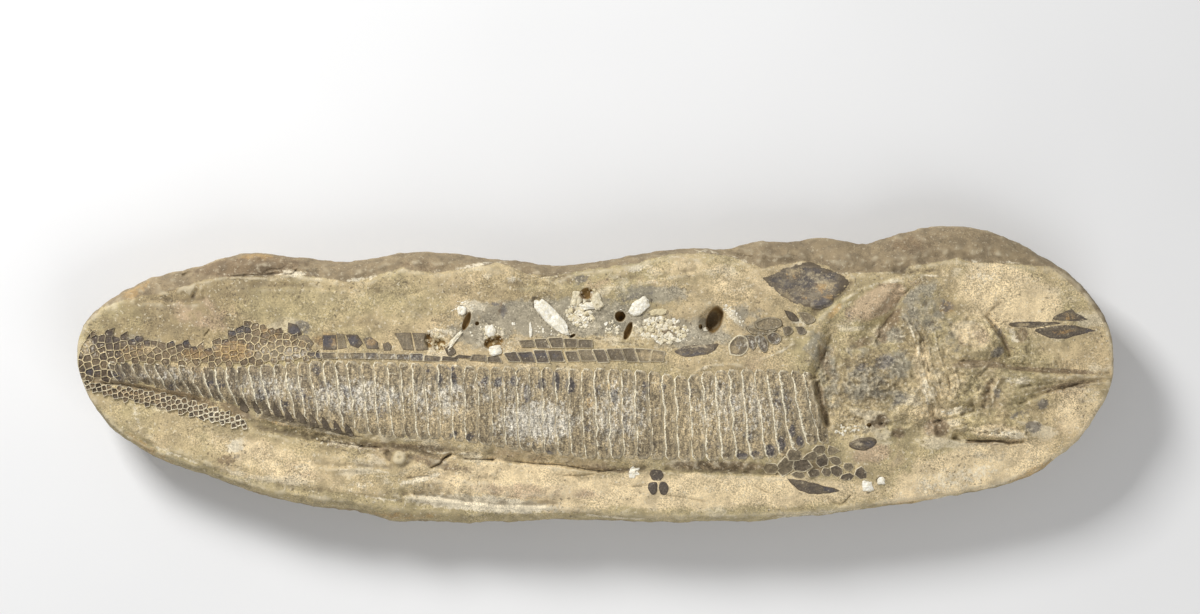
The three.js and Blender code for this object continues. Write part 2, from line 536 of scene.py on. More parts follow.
def closeFinish(tree, colour, rough, height, depth):
    bump = put(tree, "Bump", {"Height": height, "Distance": depth * mm, "Strength": 1.0})
    sockets = {"Base Color": colour, "Roughness": rough, "Normal": bump.outputs["Normal"]}
    shader = put(tree, "BsdfPrincipled", sockets)
    output = put(tree, "OutputMaterial")
    tree.links.new(shader.outputs["BSDF"], output.inputs["Surface"])


tones = {
    "tan": (0.515, 0.40, 0.228),
    "olive": (0.425, 0.348, 0.185),
    "bright": (0.77, 0.61, 0.37),
    "pink": (0.50, 0.365, 0.235),
    "grey": (0.295, 0.27, 0.21),
    "rind": (0.27, 0.205, 0.122),
    "dim": (0.32, 0.246, 0.132),
    "pale": (0.78, 0.69, 0.51),
    "rust": (0.47, 0.29, 0.11),
    "rustyRim": (0.68, 0.46, 0.16),
    "brown": (0.20, 0.14, 0.08),
    "slate": (0.15, 0.138, 0.13),
    "dark": (0.076, 0.067, 0.07),
    "speck": (0.12, 0.09, 0.055),
    "fleck": (0.74, 0.65, 0.47),
    "white": (0.80, 0.76, 0.66),
    "dust": (0.60, 0.54, 0.42),
    "shadow": (0.055, 0.04, 0.026),
    "pit": (0.24, 0.145, 0.045),
}


def makeStoneFinish():
    material, tree, where = newFinish("limestone")
    grain = useGroup(tree, rockGrain, {"Where": where, "Size": 1.0, "Specks": 0.48, "Flecks": 0.5})
    wide = noise(tree, where, 80, 4, 0.55)
    drift = noise(tree, where, 30, 5, 0.65)
    colour = mixColour(tree, levels(tree, wide, 0.38, 0.64), tones["tan"], tones["olive"])
    colour = mixColour(tree, levels(tree, drift, 0.52, 0.76, 0, 0.6), colour, tones["pink"])
    colour = mixColour(tree, levels(tree, drift, 0.48, 0.25, 0, 0.4), colour, tones["bright"])
    stains = noise(tree, stretched(tree, where, (0.5, 1.0, 1.0)), 20, 7, 0.66)
    colour = mixColour(tree, levels(tree, stains, 0.55, 0.62, 0, 0.5), colour, tones["dim"])
    colour = mixColour(tree, levels(tree, stains, 0.43, 0.36, 0, 0.45), colour, tones["pale"])
    colour = addBlotches(tree, where, colour, [
        ("dim", 12, 1.0, 0.85, tones["dim"]),
        ("bright", 16, 0.8, 0.85, tones["bright"]), ("olive", 14, 0.9, 0.7, tones["olive"]),
        ("pink", 12, 0.9, 0.75, tones["pink"]), ("grey", 7, 1.0, 0.75, tones["grey"]),
        ("rind", 7, 0.6, 0.9, tones["rind"]), ("rust", 5, 1.2, 0.55, tones["rust"]),
        ("brown", 3.4, 1.1, 0.8, tones["brown"]), ("slate", 2.4, 1.1, 0.72, tones["slate"]),
        ("pale", 2.6, 1.3, 0.85, tones["pale"]),
    ])
    # the grain is plain to see in some places and worn away in others
    worn = levels(tree, noise(tree, where, 24, 4, 0.6), 0.36, 0.64, 0.35, 1.15)
    light = times(tree, levels(tree, grain["Grain"], 0.34, 0.66, -0.46, 0.42), worn)
    patchy = levels(tree, grain["Mottle"], 0.36, 0.62, 0.8, 1.14)
    # the weathered skin round the face is smoother
    calm = minus(tree, 1.0, times(tree, mask(tree, "rind"), 0.5))
    light = times(tree, light, calm)
    colour = shaded(tree, colour, times(tree, plus(tree, light, 1), patchy))
    broken = mask(tree, "broken")
    crumbs = noise(tree, where, 3.4, 6, 0.74)
    crumbLight = minus(tree, levels(tree, crumbs, 0.36, 0.64, 0.48, 1.5), 1)
    colour = shaded(tree, colour, plus(tree, times(tree, broken, crumbLight), 1))
    crumbPale = levels(tree, crumbs, 0.57, 0.65, 0, 0.6)
    colour = mixColour(tree, times(tree, broken, crumbPale), colour, tones["pale"])
    crumbDark = levels(tree, crumbs, 0.42, 0.35, 0, 0.7)
    colour = mixColour(tree, times(tree, broken, crumbDark), colour, tones["brown"])
    specks = times(tree, grain["Specks"], times(tree, calm, 0.6))
    flecks = times(tree, grain["Flecks"], times(tree, calm, 0.6))
    colour = mixColour(tree, specks, colour, tones["speck"])
    colour = mixColour(tree, flecks, colour, tones["fleck"])
    # painted shade in hollows and painted highlight on raised edges
    colour = addHollowShadeAndHighlight(tree, colour, grain["Grain"], 0.65, 0.45)
    colour = mixColour(tree, mask(tree, "pit"), colour, tones["pit"])
    # painted shadow, near black: along the cracks, in the lower right of each pit and part of the way round
    # each lump
    colour = mixColour(tree, levels(tree, mask(tree, "paintedShadow"), 0.3, 1.0, 0, 0.85), colour, tones["shadow"])
    rough = levels(tree, grain["Mottle"], 0.3, 0.7, 0.74, 0.9)
    closeFinish(tree, colour, rough, grain["Height"], 0.65)
    return material


def makeScaleFinish(name, plate, darker, rim, mottling, rimWear, streaky, gloss, grainy):
    # ganoid scale: mottled grey-brown enamel with a pale worn rim
    material, tree, where = newFinish(name)
    amounts = {"Size": 0.95, "Specks": 0.3 + 0.4 * grainy, "Flecks": 0.45 * grainy}
    grain = useGroup(tree, rockGrain, {"Where": where, **amounts})
    colour = mixColour(tree, levels(tree, mask(tree, "tone"), 0.15, 0.9), plate, darker)
    marble = noise(tree, where, 5, 6, 0.75)
    colour = mixColour(tree, levels(tree, marble, 0.5, 0.66, 0, mottling), colour, darker)
    colour = mixColour(tree, levels(tree, marble, 0.47, 0.32, 0, mottling * 0.8), colour, tones["tan"])
    colour = addBlotches(tree, where, colour, [
        ("sand", 5, 1.0, 0.7, tones["tan"]), ("rust", 2.4, 1.6, 0.36, tones["rust"]),
        ("dark", 2.2, 1.1, 0.88, tones["dark"]),
    ])
    colour = addBlotches(tree, stretched(tree, where, (1.0, 0.55, 1.0)), colour, [
        ("dust", 5, 1.4, 0.45, tones["dust"]), ("dust", 1.8, 1.7, 0.5, tones["white"]),
    ])
    streaks = noise(tree, stretched(tree, where, (1.5, 0.4, 1.0)), 3.4, 6, 0.75)
    streaks = levels(tree, streaks, 0.36, 0.64, 1 - 0.5 * streaky, 1 + 0.45 * streaky)
    light = levels(tree, grain["Grain"], 0.35, 0.65, 1 - 0.6 * grainy, 1 + 0.5 * grainy)
    colour = shaded(tree, colour, times(tree, light, streaks))
    colour = mixColour(tree, times(tree, grain["Specks"], 0.6), colour, tones["speck"])
    colour = mixColour(tree, times(tree, grain["Flecks"], 0.6), colour, tones["fleck"])
    rimLine = rimMask(tree, noise(tree, where, 4, 5, 0.75), rimWear * 3, 0.35, 0.8)
    rimTone = mixColour(tree, times(tree, mask(tree, "rust"), 0.85), rim, tones["rustyRim"])
    colour = mixColour(tree, times(tree, rimLine, 0.9), colour, shaded(tree, rimTone, light))
    # painted shade in hollows and painted highlight on raised edges
    colour = addHollowShadeAndHighlight(tree, colour, grain["Grain"], 0.8, 0.25)
    rough = levels(tree, marble, 0.3, 0.7, gloss, gloss + 0.25)
    closeFinish(tree, colour, rough, grain["Height"], 0.55)
    return material


def makeBoneFinish(name, light, dark, rim):
    # dark phosphate bone: streaky, faintly shiny, worn pale at its edge
    material, tree, where = newFinish(name)
    grain = useGroup(tree, rockGrain, {"Where": where, "Size": 0.9, "Specks": 0.6, "Flecks": 0.45})
    streaks = noise(tree, stretched(tree, where, (0.45, 1.3, 1.0)), 3, 6, 0.75)
    colour = mixColour(tree, levels(tree, streaks, 0.36, 0.62), light, dark)
    colour = mixColour(tree, levels(tree, mask(tree, "tone"), 0.0, 1.0, 0.0, 0.8), colour, dark)
    colour = addBlotches(tree, where, colour, [
        ("sand", 4, 1.2, 0.6, tones["tan"]), ("rust", 3, 1.3, 0.7, tones["rust"]),
        ("dark", 3, 1.4, 0.75, tones["dark"]), ("dust", 2.4, 1.4, 0.6, rim),
    ])
    grey = levels(tree, grain["Grain"], 0.32, 0.68, 0.62, 1.35)
    colour = shaded(tree, colour, grey)
    colour = mixColour(tree, times(tree, grain["Flecks"], 0.45), colour, rim)
    rimLine = rimMask(tree, noise(tree, where, 3, 5, 0.7), 2.2, 0.4, 0.9)
    colour = mixColour(tree, rimLine, colour, shaded(tree, rim, grey))
    # painted shade in hollows and painted highlight on raised edges
    colour = addHollowShadeAndHighlight(tree, colour, grain["Grain"], 0.7, 0.2)
    rough = levels(tree, streaks, 0.3, 0.7, 0.45, 0.7)
    closeFinish(tree, colour, rough, grain["Height"], 0.5)
    return material


def makeCalciteFinish():
    material, tree, where = newFinish("calcite")
    grain = useGroup(tree, rockGrain, {"Where": where, "Size": 0.8, "Specks": 0.4, "Flecks": 0.6})
    crystals = put(tree, "TexVoronoi", {"Vector": where, "Scale": 1000 / 1.8}, feature="F1")
    facets = levels(tree, crystals.outputs["Distance"], 0.0, 0.9)
    colour = mixColour(tree, facets, (0.97, 0.94, 0.85), (0.84, 0.77, 0.60))
    colour = mixColour(tree, levels(tree, mask(tree, "tone"), 0.1, 0.9), colour, (0.68, 0.58, 0.36))
    colour = addBlotches(tree, where, colour, [
        ("rust", 2.4, 1.1, 0.95, (0.27, 0.15, 0.045)), ("dark", 1.8, 1.4, 0.8, tones["pit"]),
    ])
    colour = shaded(tree, colour, levels(tree, grain["Grain"], 0.32, 0.68, 0.8, 1.12))
    # painted shade in hollows and painted highlight on raised edges
    sockets = {"Shade Colour": (0.13, 0.08, 0.03, 1)}
    colour = addHollowShadeAndHighlight(tree, colour, grain["Grain"], 0.9, 0.1, **sockets)
    rough = levels(tree, facets, 0.0, 1.0, 0.42, 0.7)
    height = plus(tree, grain["Height"], times(tree, crystals.outputs["Distance"], 0.6))
    closeFinish(tree, colour, rough, height, 0.35)
    return material


# The fish's own lines, which both the rock and the scales follow
fish = {
    "flankTop": [
        [-322, 9.5], [-316, 9], [-274, 7], [-242, 5], [-209, 7], [-177, 9.4], [-145, 8.8], [-105, 7.6],
        [-86, 6.2],
        [-30, 5], [25, 4.2], [45, 1.5], [54, -1.5], [66, 1.5], [79, 4], [105, 4.4], [127, 3], [135, 1],
    ],
    "flankBottom": [
        [-322, -3.5], [-302, -4.4], [-290, -6.5], [-261, -12], [-242, -16.6], [-225, -20.8], [-198, -26],
        [-167, -33], [-149, -38], [-127, -41], [-86, -42], [-75, -45], [-49, -48.5], [-31, -51], [-9, -53.5],
        [17, -54.2], [78, -55], [113, -54], [129, -48.5], [135, -44],
    ],
    "bellyEdge": [
        [-325, -8.5], [-306, -14.5], [-290, -18], [-274, -21.5], [-258, -25.6], [-241, -30.6], [-220, -34.6],
    ],
    "bellyTop": [
        [-325, -3.8], [-306, -7.2], [-290, -9.5], [-274, -12.5], [-258, -16], [-241, -21], [-230, -25],
        [-220, -28.4],
    ],
    "tailTop": [
        [-323, 25.5], [-312, 27.5], [-300, 26.5], [-288, 22.5], [-278, 22.5], [-270, 21], [-256, 19],
        [-243, 18],
        [-234, 23.5], [-224, 30.5], [-212, 33.5], [-204, 30], [-196, 28], [-187, 24], [-180, 19], [-172, 14],
    ],
}


# Limestone slab
slabSet = {
    "voxel": 1.2,
    "underShare": 0.12,  # share of faces kept below the rim
    "hiddenShare": 0.15,  # share of faces kept under the scales
    "finalShare": 0.56,  # share of faces kept when all is carved and painted
    # ovals over the head: x, y, half length, half width, turn
    "fineHead": (226, 3, 98, 54, 0),
    "brokenHead": (222, -2, 86, 42, 0),
    "dirtyHead": (214, -2, 80, 40, 0),
    "crest": [
        [-325, 30], [-313, 42], [-302, 46.5], [-275, 52], [-256, 58], [-232, 63], [-211, 62], [-192, 64],
        [-173, 61], [-158, 59], [-141, 61.5], [-123, 67.5], [-101, 64.5], [-79, 68], [-60, 71], [-43, 63],
        [-29, 61], [-11, 65.5], [8, 67.5], [28, 71], [47, 76], [67, 77.5], [88, 73.5], [105, 67.5], [122, 70],
        [133, 71.5], [147, 68], [154, 63], [174, 64.5], [194, 64.5], [200, 69], [209, 70], [228, 73.5],
        [243, 71], [261, 70.5], [288, 67.5], [301, 57], [314, 45], [322, 32],
    ],
    "leftEdge": [[-20, -322], [-8, -325], [0, -327], [10, -327], [18, -325], [26, -320], [32, -314]],
    "lowerBand": [
        [-326, -8], [-322, -12], [-306, -28], [-290, -39.5], [-274, -47.5], [-258, -53.5], [-241, -60],
        [-225, -65], [-209, -68], [-193, -71], [-177, -73], [-161, -75], [-123, -80], [-80, -84], [-22, -87],
        [28, -91.5], [129, -89.5], [205, -80.5], [256, -70.5], [293, -52.5], [306, -42], [317, -26],
        [326, -12],
    ],
}
mounds = [
    # x, y, half length, half width, turn, rise
    (178, 4, 30, 17, 12, 1.5),  # gill cover
    (168, -12, 20, 15, 20, 1.2),
    (196, 18, 13, 15, 30, 1.2),
    (205, 42, 15, 15, 40, 1.6),  # skull roof
    (178, 47, 24, 9, 22, 1.2),  # smooth plate behind the skull
    (232, 26, 17, 9, -14, 1.2),  # cheek
    (246, 22, 11, 12, -30, 1.0),
    (214, 6, 7, 22, 8, 1.0),
    (228, -6, 9, 8, 0, 1.2),
    (292, -2, 36, 5, 0, 1.4),  # snout
    (238, -10, 15, 10, 0, 1.6),
    (266, -10, 14, 7, 20, 1.2),
    (255, -36.5, 26, 6, -4, 1.4),  # lower jaw
    (226, -24.5, 14, 4, 8, 1.4),
    (148, 38, 22, 4.5, 42, 1.6),
    (-50, 66, 26, 5, 0, 0.8),
    (110, 79, 22, 5, -8, 1.4),
    (208, 88, 26, 5, 4, 1.2),
    (-215, 72, 22, 4, 0, 0.8),
    (-124, -52.8, 5.4, 4.8, 20, 4.2),  # knob under the belly
    (-131.4, -51.4, 2.6, 4, 0, -1.8),
    (-60, -72, 60, 6, -3, 0.8),
    (60, -72, 60, 10, 2, 0.7),
]
strokes = [
    # kind, half width, rise, line
    ("groove", 5.5, -3.2, [[150, 26], [144, 14], [139, 1], [139, -3]]),  # shoulder furrow
    ("groove", 3.4, -4.2, [[139, -4], [142, -16], [147, -34]]),
    ("groove", 1.3, -1.6, [[133, -3], [135, -18], [139, -32]]),
    ("groove", 1.2, 1.2, [[136, -4], [139, -18], [143, -33]]),
    ("step", 15, -3.6,
        [[201, 56], [196.5, 51], [192.5, 46], [190, 39.5], [184.5, 33.5], [181, 26.5], [178, 18]]),
    ("ledge", 7, -1.4, [[136, 41], [146, 43.5], [156, 51.5], [163, 60]]),  # edge under the back fin
    ("groove", 2.2, 1.2, [[155, 46], [166, 52], [180, 58], [196, 59]]),
    ("groove", 1.6, 1.5, [[203, 26], [205, 10], [209, -6], [216, -19]]),  # upright bones of the cheek
    ("groove", 1.2, 1.1, [[198, 32], [203, 16], [204, 3], [207, -8]]),
    ("groove", 1.0, 0.9, [[210, 20], [212, 6], [216, -4], [219, -14]]),
    ("groove", 0.9, 0.8, [[214, 28], [217, 12], [222, -1]]),
    ("groove", 1.0, -0.9, [[207, 26], [208.5, 10], [213, -6], [219, -17]]),
    ("groove", 1.1, 0.9, [[193, 40], [199, 31], [205, 24]]),
    ("groove", 1.0, 0.7, [[187, 26], [194, 24], [200, 28]]),
    ("groove", 0.9, 0.7, [[184, 20], [190, 14], [194, 5]]),
    ("ledge", 6, -1.2, [[160, -25], [166, -28], [180, -31], [196, -29]]),
    ("groove", 2.8, 1.0, [[151, -8], [157, -19], [168, -25], [186, -30], [212, -28]]),  # gill cover
    ("groove", 0.9, 0.6, [[147, 18], [145, 3], [147, -12]]),
    ("groove", 0.9, -0.8, [[154, 12], [151, 0], [153, -11]]),
    ("step", 13, -2.8, [[246, 38], [254, 29.5], [259, 20], [262, 10]]),  # front edge of the cheek plate
    ("groove", 2.0, -1.5, [[248, 36], [255.5, 28.5], [260.5, 19], [263, 10]]),
    ("groove", 4.2, -2.0, [[222, 7], [234, 8.4], [243, 7.2], [254, 8.6], [264, 6.4], [276, 3]]),
    ("step", 7, -1.8, [[222, 8], [240, 9], [255, 8.5], [267, 5.5], [280, 2.4], [300, 1.4], [329, -0.6]]),
    ("groove", 2.8, 1.2, [[262, 1], [280, -1.4], [300, -2], [320, -2.2]]),  # snout
    ("ledge", 7, -2.6, [[329, -3.2], [315, -4.4], [300, -7], [287, -11], [276, -15], [266, -19.5]]),
    ("groove", 1.2, -1.0, [[268, -8], [282, -6], [300, -4.2], [322, -2.8]]),
    ("groove", 1.0, -0.9, [[270, -13], [284, -10], [298, -6.6]]),
    ("groove", 1.0, 0.8, [[264, -14], [276, -12], [290, -8.4]]),
    ("groove", 2.8, -1.5, [[243, -1.5], [247, 4], [254, 6.5]]),
    ("groove", 2.6, -1.7, [[251, -2], [248, -9], [246.5, -16], [245, -22]]),  # arc of bone
    ("groove", 2.0, 1.7, [[255, -3.5], [252, -10], [251, -19]]),
    ("groove", 1.2, 0.9, [[226, 4], [229, -5], [227, -14]]),
    ("groove", 1.3, -1.1, [[222, 0], [224, -9], [222, -17]]),
    ("ledge", 8, -2.8, [[241, -22], [231, -25.5], [222, -28.5], [213, -29.5]]),
    ("groove", 2.4, -1.8, [[212.5, -18], [212, -22], [213, -27]]),
    # lower jaw
    ("ledge", 8, -4.0, [[272, -41], [264, -43], [256, -42], [246, -42.4], [234, -41.6], [225, -40]]),
    ("groove", 3.0, 1.4, [[224, -36], [232, -33.5], [246, -34], [262, -35.4], [272, -38]]),
    ("groove", 1.5, 1.2, [[240, -38], [258, -38.5], [274, -40]]),
    ("groove", 5.0, -2.4, [[219, -29], [217, -34], [218, -40]]),
    ("groove", 4.6, -2.2, [[177, -28], [182, -31]]),
    ("groove", 4.0, -1.8, [[187, -37], [194, -39.5]]),
    ("step", 9, -0.7, [[227.5, 70], [225, 60], [226, 47], [231, 39]]),
    ("groove", 5, -1.4, [[188, 66], [204, 65], [220, 66]]),
    ("groove", 1.4, 0.9, [[186, 60], [202, 63], [218, 62]]),
    ("ledge", 9, -2.2,
        [[-92, -54], [-105, -51], [-123, -46.5], [-149, -45], [-168, -42.5], [-187, -40], [-222, -32.5]]),
    ("groove", 1.6, 0.7, [[-212, -28], [-190, -33], [-168, -37], [-146, -41.5]]),
    ("groove", 1.6, -0.9, [[-91, -50.2], [-96, -53.5], [-99, -57], [-105, -59.6]]),
    ("groove", 1.6, 1.0, [[-112, -47], [-101, -50], [-92, -49.5], [-80, -50.5]]),
    ("ledge", 9, -2.6, [[34, -59], [20, -60.5], [3, -61], [-22, -57.5], [-48, -55.5], [-72, -52.5]]),
    ("ledge", 8, -2.0, [[121, -64], [100, -63], [80, -62], [60, -61.5], [42, -60]]),
    ("ledge", 6, -0.9, [[-60, -67], [-76, -66], [-98, -63.5], [-122, -66]]),
    ("ledge", 7, -2.2, [[-22, -82], [-54, -83], [-80, -81], [-105, -77], [-125, -76]]),  # chipped lower rim
    ("groove", 1.6, 0.9, [[-130, -62], [-150, -60], [-172, -61]]),
    ("ledge", 5, -0.9, [[-128, -60], [-152, -58], [-180, -57]]),
    ("groove", 2.0, -1.5, [[-252, 58], [-253, 53], [-256, 48]]),
    ("ledge", 8, -1.6, [[-246, 48], [-258, 46], [-276, 47], [-292, 46]]),
    ("ledge", 6, -1.0, [[-150, 55], [-172, 54], [-196, 56], [-220, 55]]),
    ("ledge", 4, -0.8, [[-110, 52], [-124, 50], [-140, 52]]),
    ("step", 4, -0.9, [[-60, 58], [-48, 56], [-34, 57], [-24, 54]]),
    ("groove", 4, -1.6, [[86, 79], [90, 76], [95, 74]]),
    ("groove", 5, -1.6, [[160, 80], [176, 77], [192, 80]]),
    ("ledge", 6, -1.0, [[66, 66], [50, 64], [34, 60], [20, 61]]),
    ("groove", 1.4, 0.8, [[79, 45], [86, 40], [92, 34], [96, 30]]),
    ("groove", 1.4, 0.9, [[97, 8], [108, 11], [118, 15], [126, 20]]),  # band above the front of the flank
    ("groove", 1.6, 0.9, [[60, -2], [66, 3], [76, 6], [92, 6.4]]),
]
cracks = [
    # half width, depth, line
    (0.6, -1.3, [[-233, 62], [-221, 62.8], [-211, 62.8], [-201, 64], [-193, 63.6], [-189, 67]]),
    (0.4, -0.8, [[-212, 63], [-207, 66.4], [-200, 67], [-196, 69.6]]),
    (0.9, -2.2, [[-263, 63.2], [-258, 65.6]]),
    (0.6, -1.3, [[-248, 23.8], [-244.5, 28.5]]),
    (1.5, -1.2, [[-314, -5.4], [-302, -6.2], [-290, -8.4], [-274, -11.8], [-258, -15.4], [-246, -18.4]]),
    (0.6, -1.0, [[-176, -42.4], [-162, -43.6], [-149, -45.5], [-134, -46.5]]),
    (0.5, -1.2, [[-91, -50.2], [-96, -53.5], [-99, -57], [-105, -59.6]]),
    (0.7, -1.5, [[-84, -53.6], [-72, -54], [-64, -54.5]]),
    (0.6, -1.1, [[-52, -55.2], [-36, -57], [-22, -57.5], [-8, -60], [3, -61.5], [14, -60]]),
    (0.4, -0.8, [[-26, -63.5], [-12, -64.5], [0, -63]]),
    (0.4, -0.8, [[-120, -66], [-106, -64.5], [-94, -66.5]]),
    (0.4, -0.8, [[44, -77], [56, -78], [70, -81]]),
    (0.5, -1.1, [[147, -76.5], [149, -80.5], [156, -82], [162, -76]]),
    (0.5, -1.1, [[258, -43], [250, -42.2], [242, -42.6], [235, -42]]),
    (0.5, -0.8, [[80, 82], [84, 78], [90, 76], [100, 74.6]]),
    (0.4, -0.7, [[-30, 62.5], [-44, 60.5], [-52, 64]]),
    (0.4, -0.7, [[8, -69], [22, -71], [34, -70]]),
    (0.4, -0.7, [[100, -70], [106, -73.5], [112, -76]]),
]
pits = [
    # x, y, half length, half width, turn, depth
    (-5.6, 51.2, 4.2, 3.4, 10, -3.4),
    (15.6, 36.6, 3.3, 3.3, 0, -7),
    (75.6, 34.6, 8.4, 4.9, 74, -8),
    (20.6, 27.4, 5.6, 2.1, 68, -4),
    (-81.6, 33.6, 5.8, 2.0, 70, -3.2),
    (-75, 32.2, 1.3, 1.3, 0, -2.5),
    (-14.4, 24.4, 1.8, 0.9, 30, -2.5),
    (66.6, 30.2, 1.2, 1.6, 0, -2.5),
    (-105.4, 21.4, 2.4, 4.4, 10, -3),
    (-98.4, 18.6, 3.6, 4.2, -10, -3),
    (-64.4, 20.4, 6.2, 3.8, 20, -4),
    (173, -32, 1.5, 1.3, 0, -2.5),
    (26, -61.4, 0.9, 0.8, 0, -1.4),
]
roughSpots = [
    # broken, crumbly places: x, y, half length, half width, turn, strength
    (78, -58, 42, 5, -1, 1), (128, -57, 28, 10, -8, 0.8), (240, -8, 26, 14, 0, 0.7), (256, -36, 22, 6, -4, 1),
    (165, -33, 14, 7, -8, 1), (224, -25, 14, 5, 4, 0.8), (206, 8, 8, 26, 6, 0.5),
    (-176, -38, 54, 5, -14, 0.9),
    (-90, -50, 30, 4, -4, 0.8), (146, -8, 8, 24, 6, 0.7), (205, 62, 20, 6, 10, 0.7),
    (-10, 38, 30, 14, 0, 0.4),
    (-98, 20, 14, 10, 0, 0.6), (238, 38, 14, 5, 0, 0.5), (174, -4, 30, 22, 0, 0.85), (44, 28, 18, 10, 0, 0.5),
    (-88, -74, 40, 6, -8, 0.5), (-196, 64, 30, 4, 0, 0.6), (110, 22, 26, 10, 20, 0.4),
]
roughness = [
    # where, height, texture, in the order they are laid
    ("skin", 3.4, coarseCloud), ("lowSkin", 1.6, middleCloud),
    ("bare", 2.2, coarseCloud), ("bare", 1.3, middleCloud), ("bare", 0.7, fineCloud),
    ("chipped", 0.9, chipCells),
    ("head", 1.5, middleCloud), ("head", 2.4, plateCells), ("head", 1.4, chipCells), ("head", 0.9, fineCloud),
    ("broken", 1.5, boneRidges), ("broken", 1.3, fineRidges), ("broken", 1.1, fineCloud),
]
lumpSet = [
    # x, y, half length, half width, height, turn, tone, roughness
    (-28, 36.4, 13.8, 4.2, 2.2, -46, 0.0, 0.22), (0.4, 46.4, 3.0, 5.4, 2.2, 22, 0.6, 0.4),
    (-12.6, 47.6, 2.8, 4.4, 2.0, -10, 0.6, 0.4),
    (-5, 43.2, 4.6, 2.2, 1.8, 10, 0.3, 0.4), (27.8, 43, 6.8, 4.0, 2.4, 36, 0.0, 0.2),
    (-66.6, 27.8, 3.2, 3.6, 2.2, 0, 0.0, 0.2),
    (-63.6, 15.3, 4.0, 3.2, 2.6, 20, 0.05, 0.2), (-84.8, 40.6, 2.6, 2.8, 1.6, 0, 0.0, 0.3),
    (-89, 22.4, 7.0, 1.4, 1.4, 50, 0.4, 0.5),
    (-41, 27.8, 0.9, 4.8, 0.9, 4, 0.1, 0.4), (24, -61.8, 3.0, 2.8, 0.6, 0, 0.1, 0.5),
    (172, -70.6, 3.4, 3.2, 1.0, 0, 0.0, 0.3),
    (180.6, -67.4, 2.5, 2.3, 0.9, 0, 0.0, 0.3), (39.4, 39.4, 5.0, 1.9, 1.0, 4, 0.9, 0.3),
    (70, 28.6, 1.6, 1.2, 1.0, 0, 0.0, 0.3),
    (76.4, 29.6, 0.7, 3.0, -1.6, 0, 0.0, 0.3), (-52, 32, 1.2, 0.9, 0.7, 0, 0.0, 0.3),
]
grainClusters = [
    # x, y, half length, half width, turn, count, size, tone
    (43, 28, 15.5, 8, -8, 170, 1.7, 0.5), (10.6, 29.6, 5, 5, 0, 34, 1.2, 0.35),
    (-9.8, 36.8, 9.4, 6.8, -32, 110, 1.7, 0.5),
    (-6, 47, 9, 7, 20, 44, 1.3, 0.6), (-65, 24, 7, 7, 0, 34, 1.0, 0.6), (-58, 18, 4, 6, 0, 14, 0.9, 0.5),
    (-104, 22, 5.4, 6, 0, 30, 1.3, 0.8), (-96, 18, 5, 5, 0, 26, 1.2, 0.8), (-84, 43, 9, 5, 0, 22, 0.8, 0.3),
    (158, -35, 7, 3.6, 0, 34, 1.1, 0.45), (167, -33, 6, 2.6, 0, 14, 1.0, 0.5),
    (87, 38, 10, 2.6, -46, 34, 0.8, 0.1),
    (-36, 27, 6, 4, 0, 14, 0.8, 0.3), (-22, 27, 8, 4, 0, 12, 0.7, 0.4), (-76, 28, 5, 4, 0, 8, 0.8, 0.5),
    (16, 40, 6, 3, 0, 8, 0.7, 0.2), (60, 24, 8, 3, 0, 10, 0.6, 0.2), (226, -24, 9, 1.6, 4, 8, 0.9, 0.6),
    (259, -37, 11, 2.4, -6, 16, 1.1, 0.6), (-170, -42, 40, 2.4, -12, 16, 0.8, 0.6),
    (24, -61.8, 4, 3.6, 0, 16, 0.7, 0.1),
]
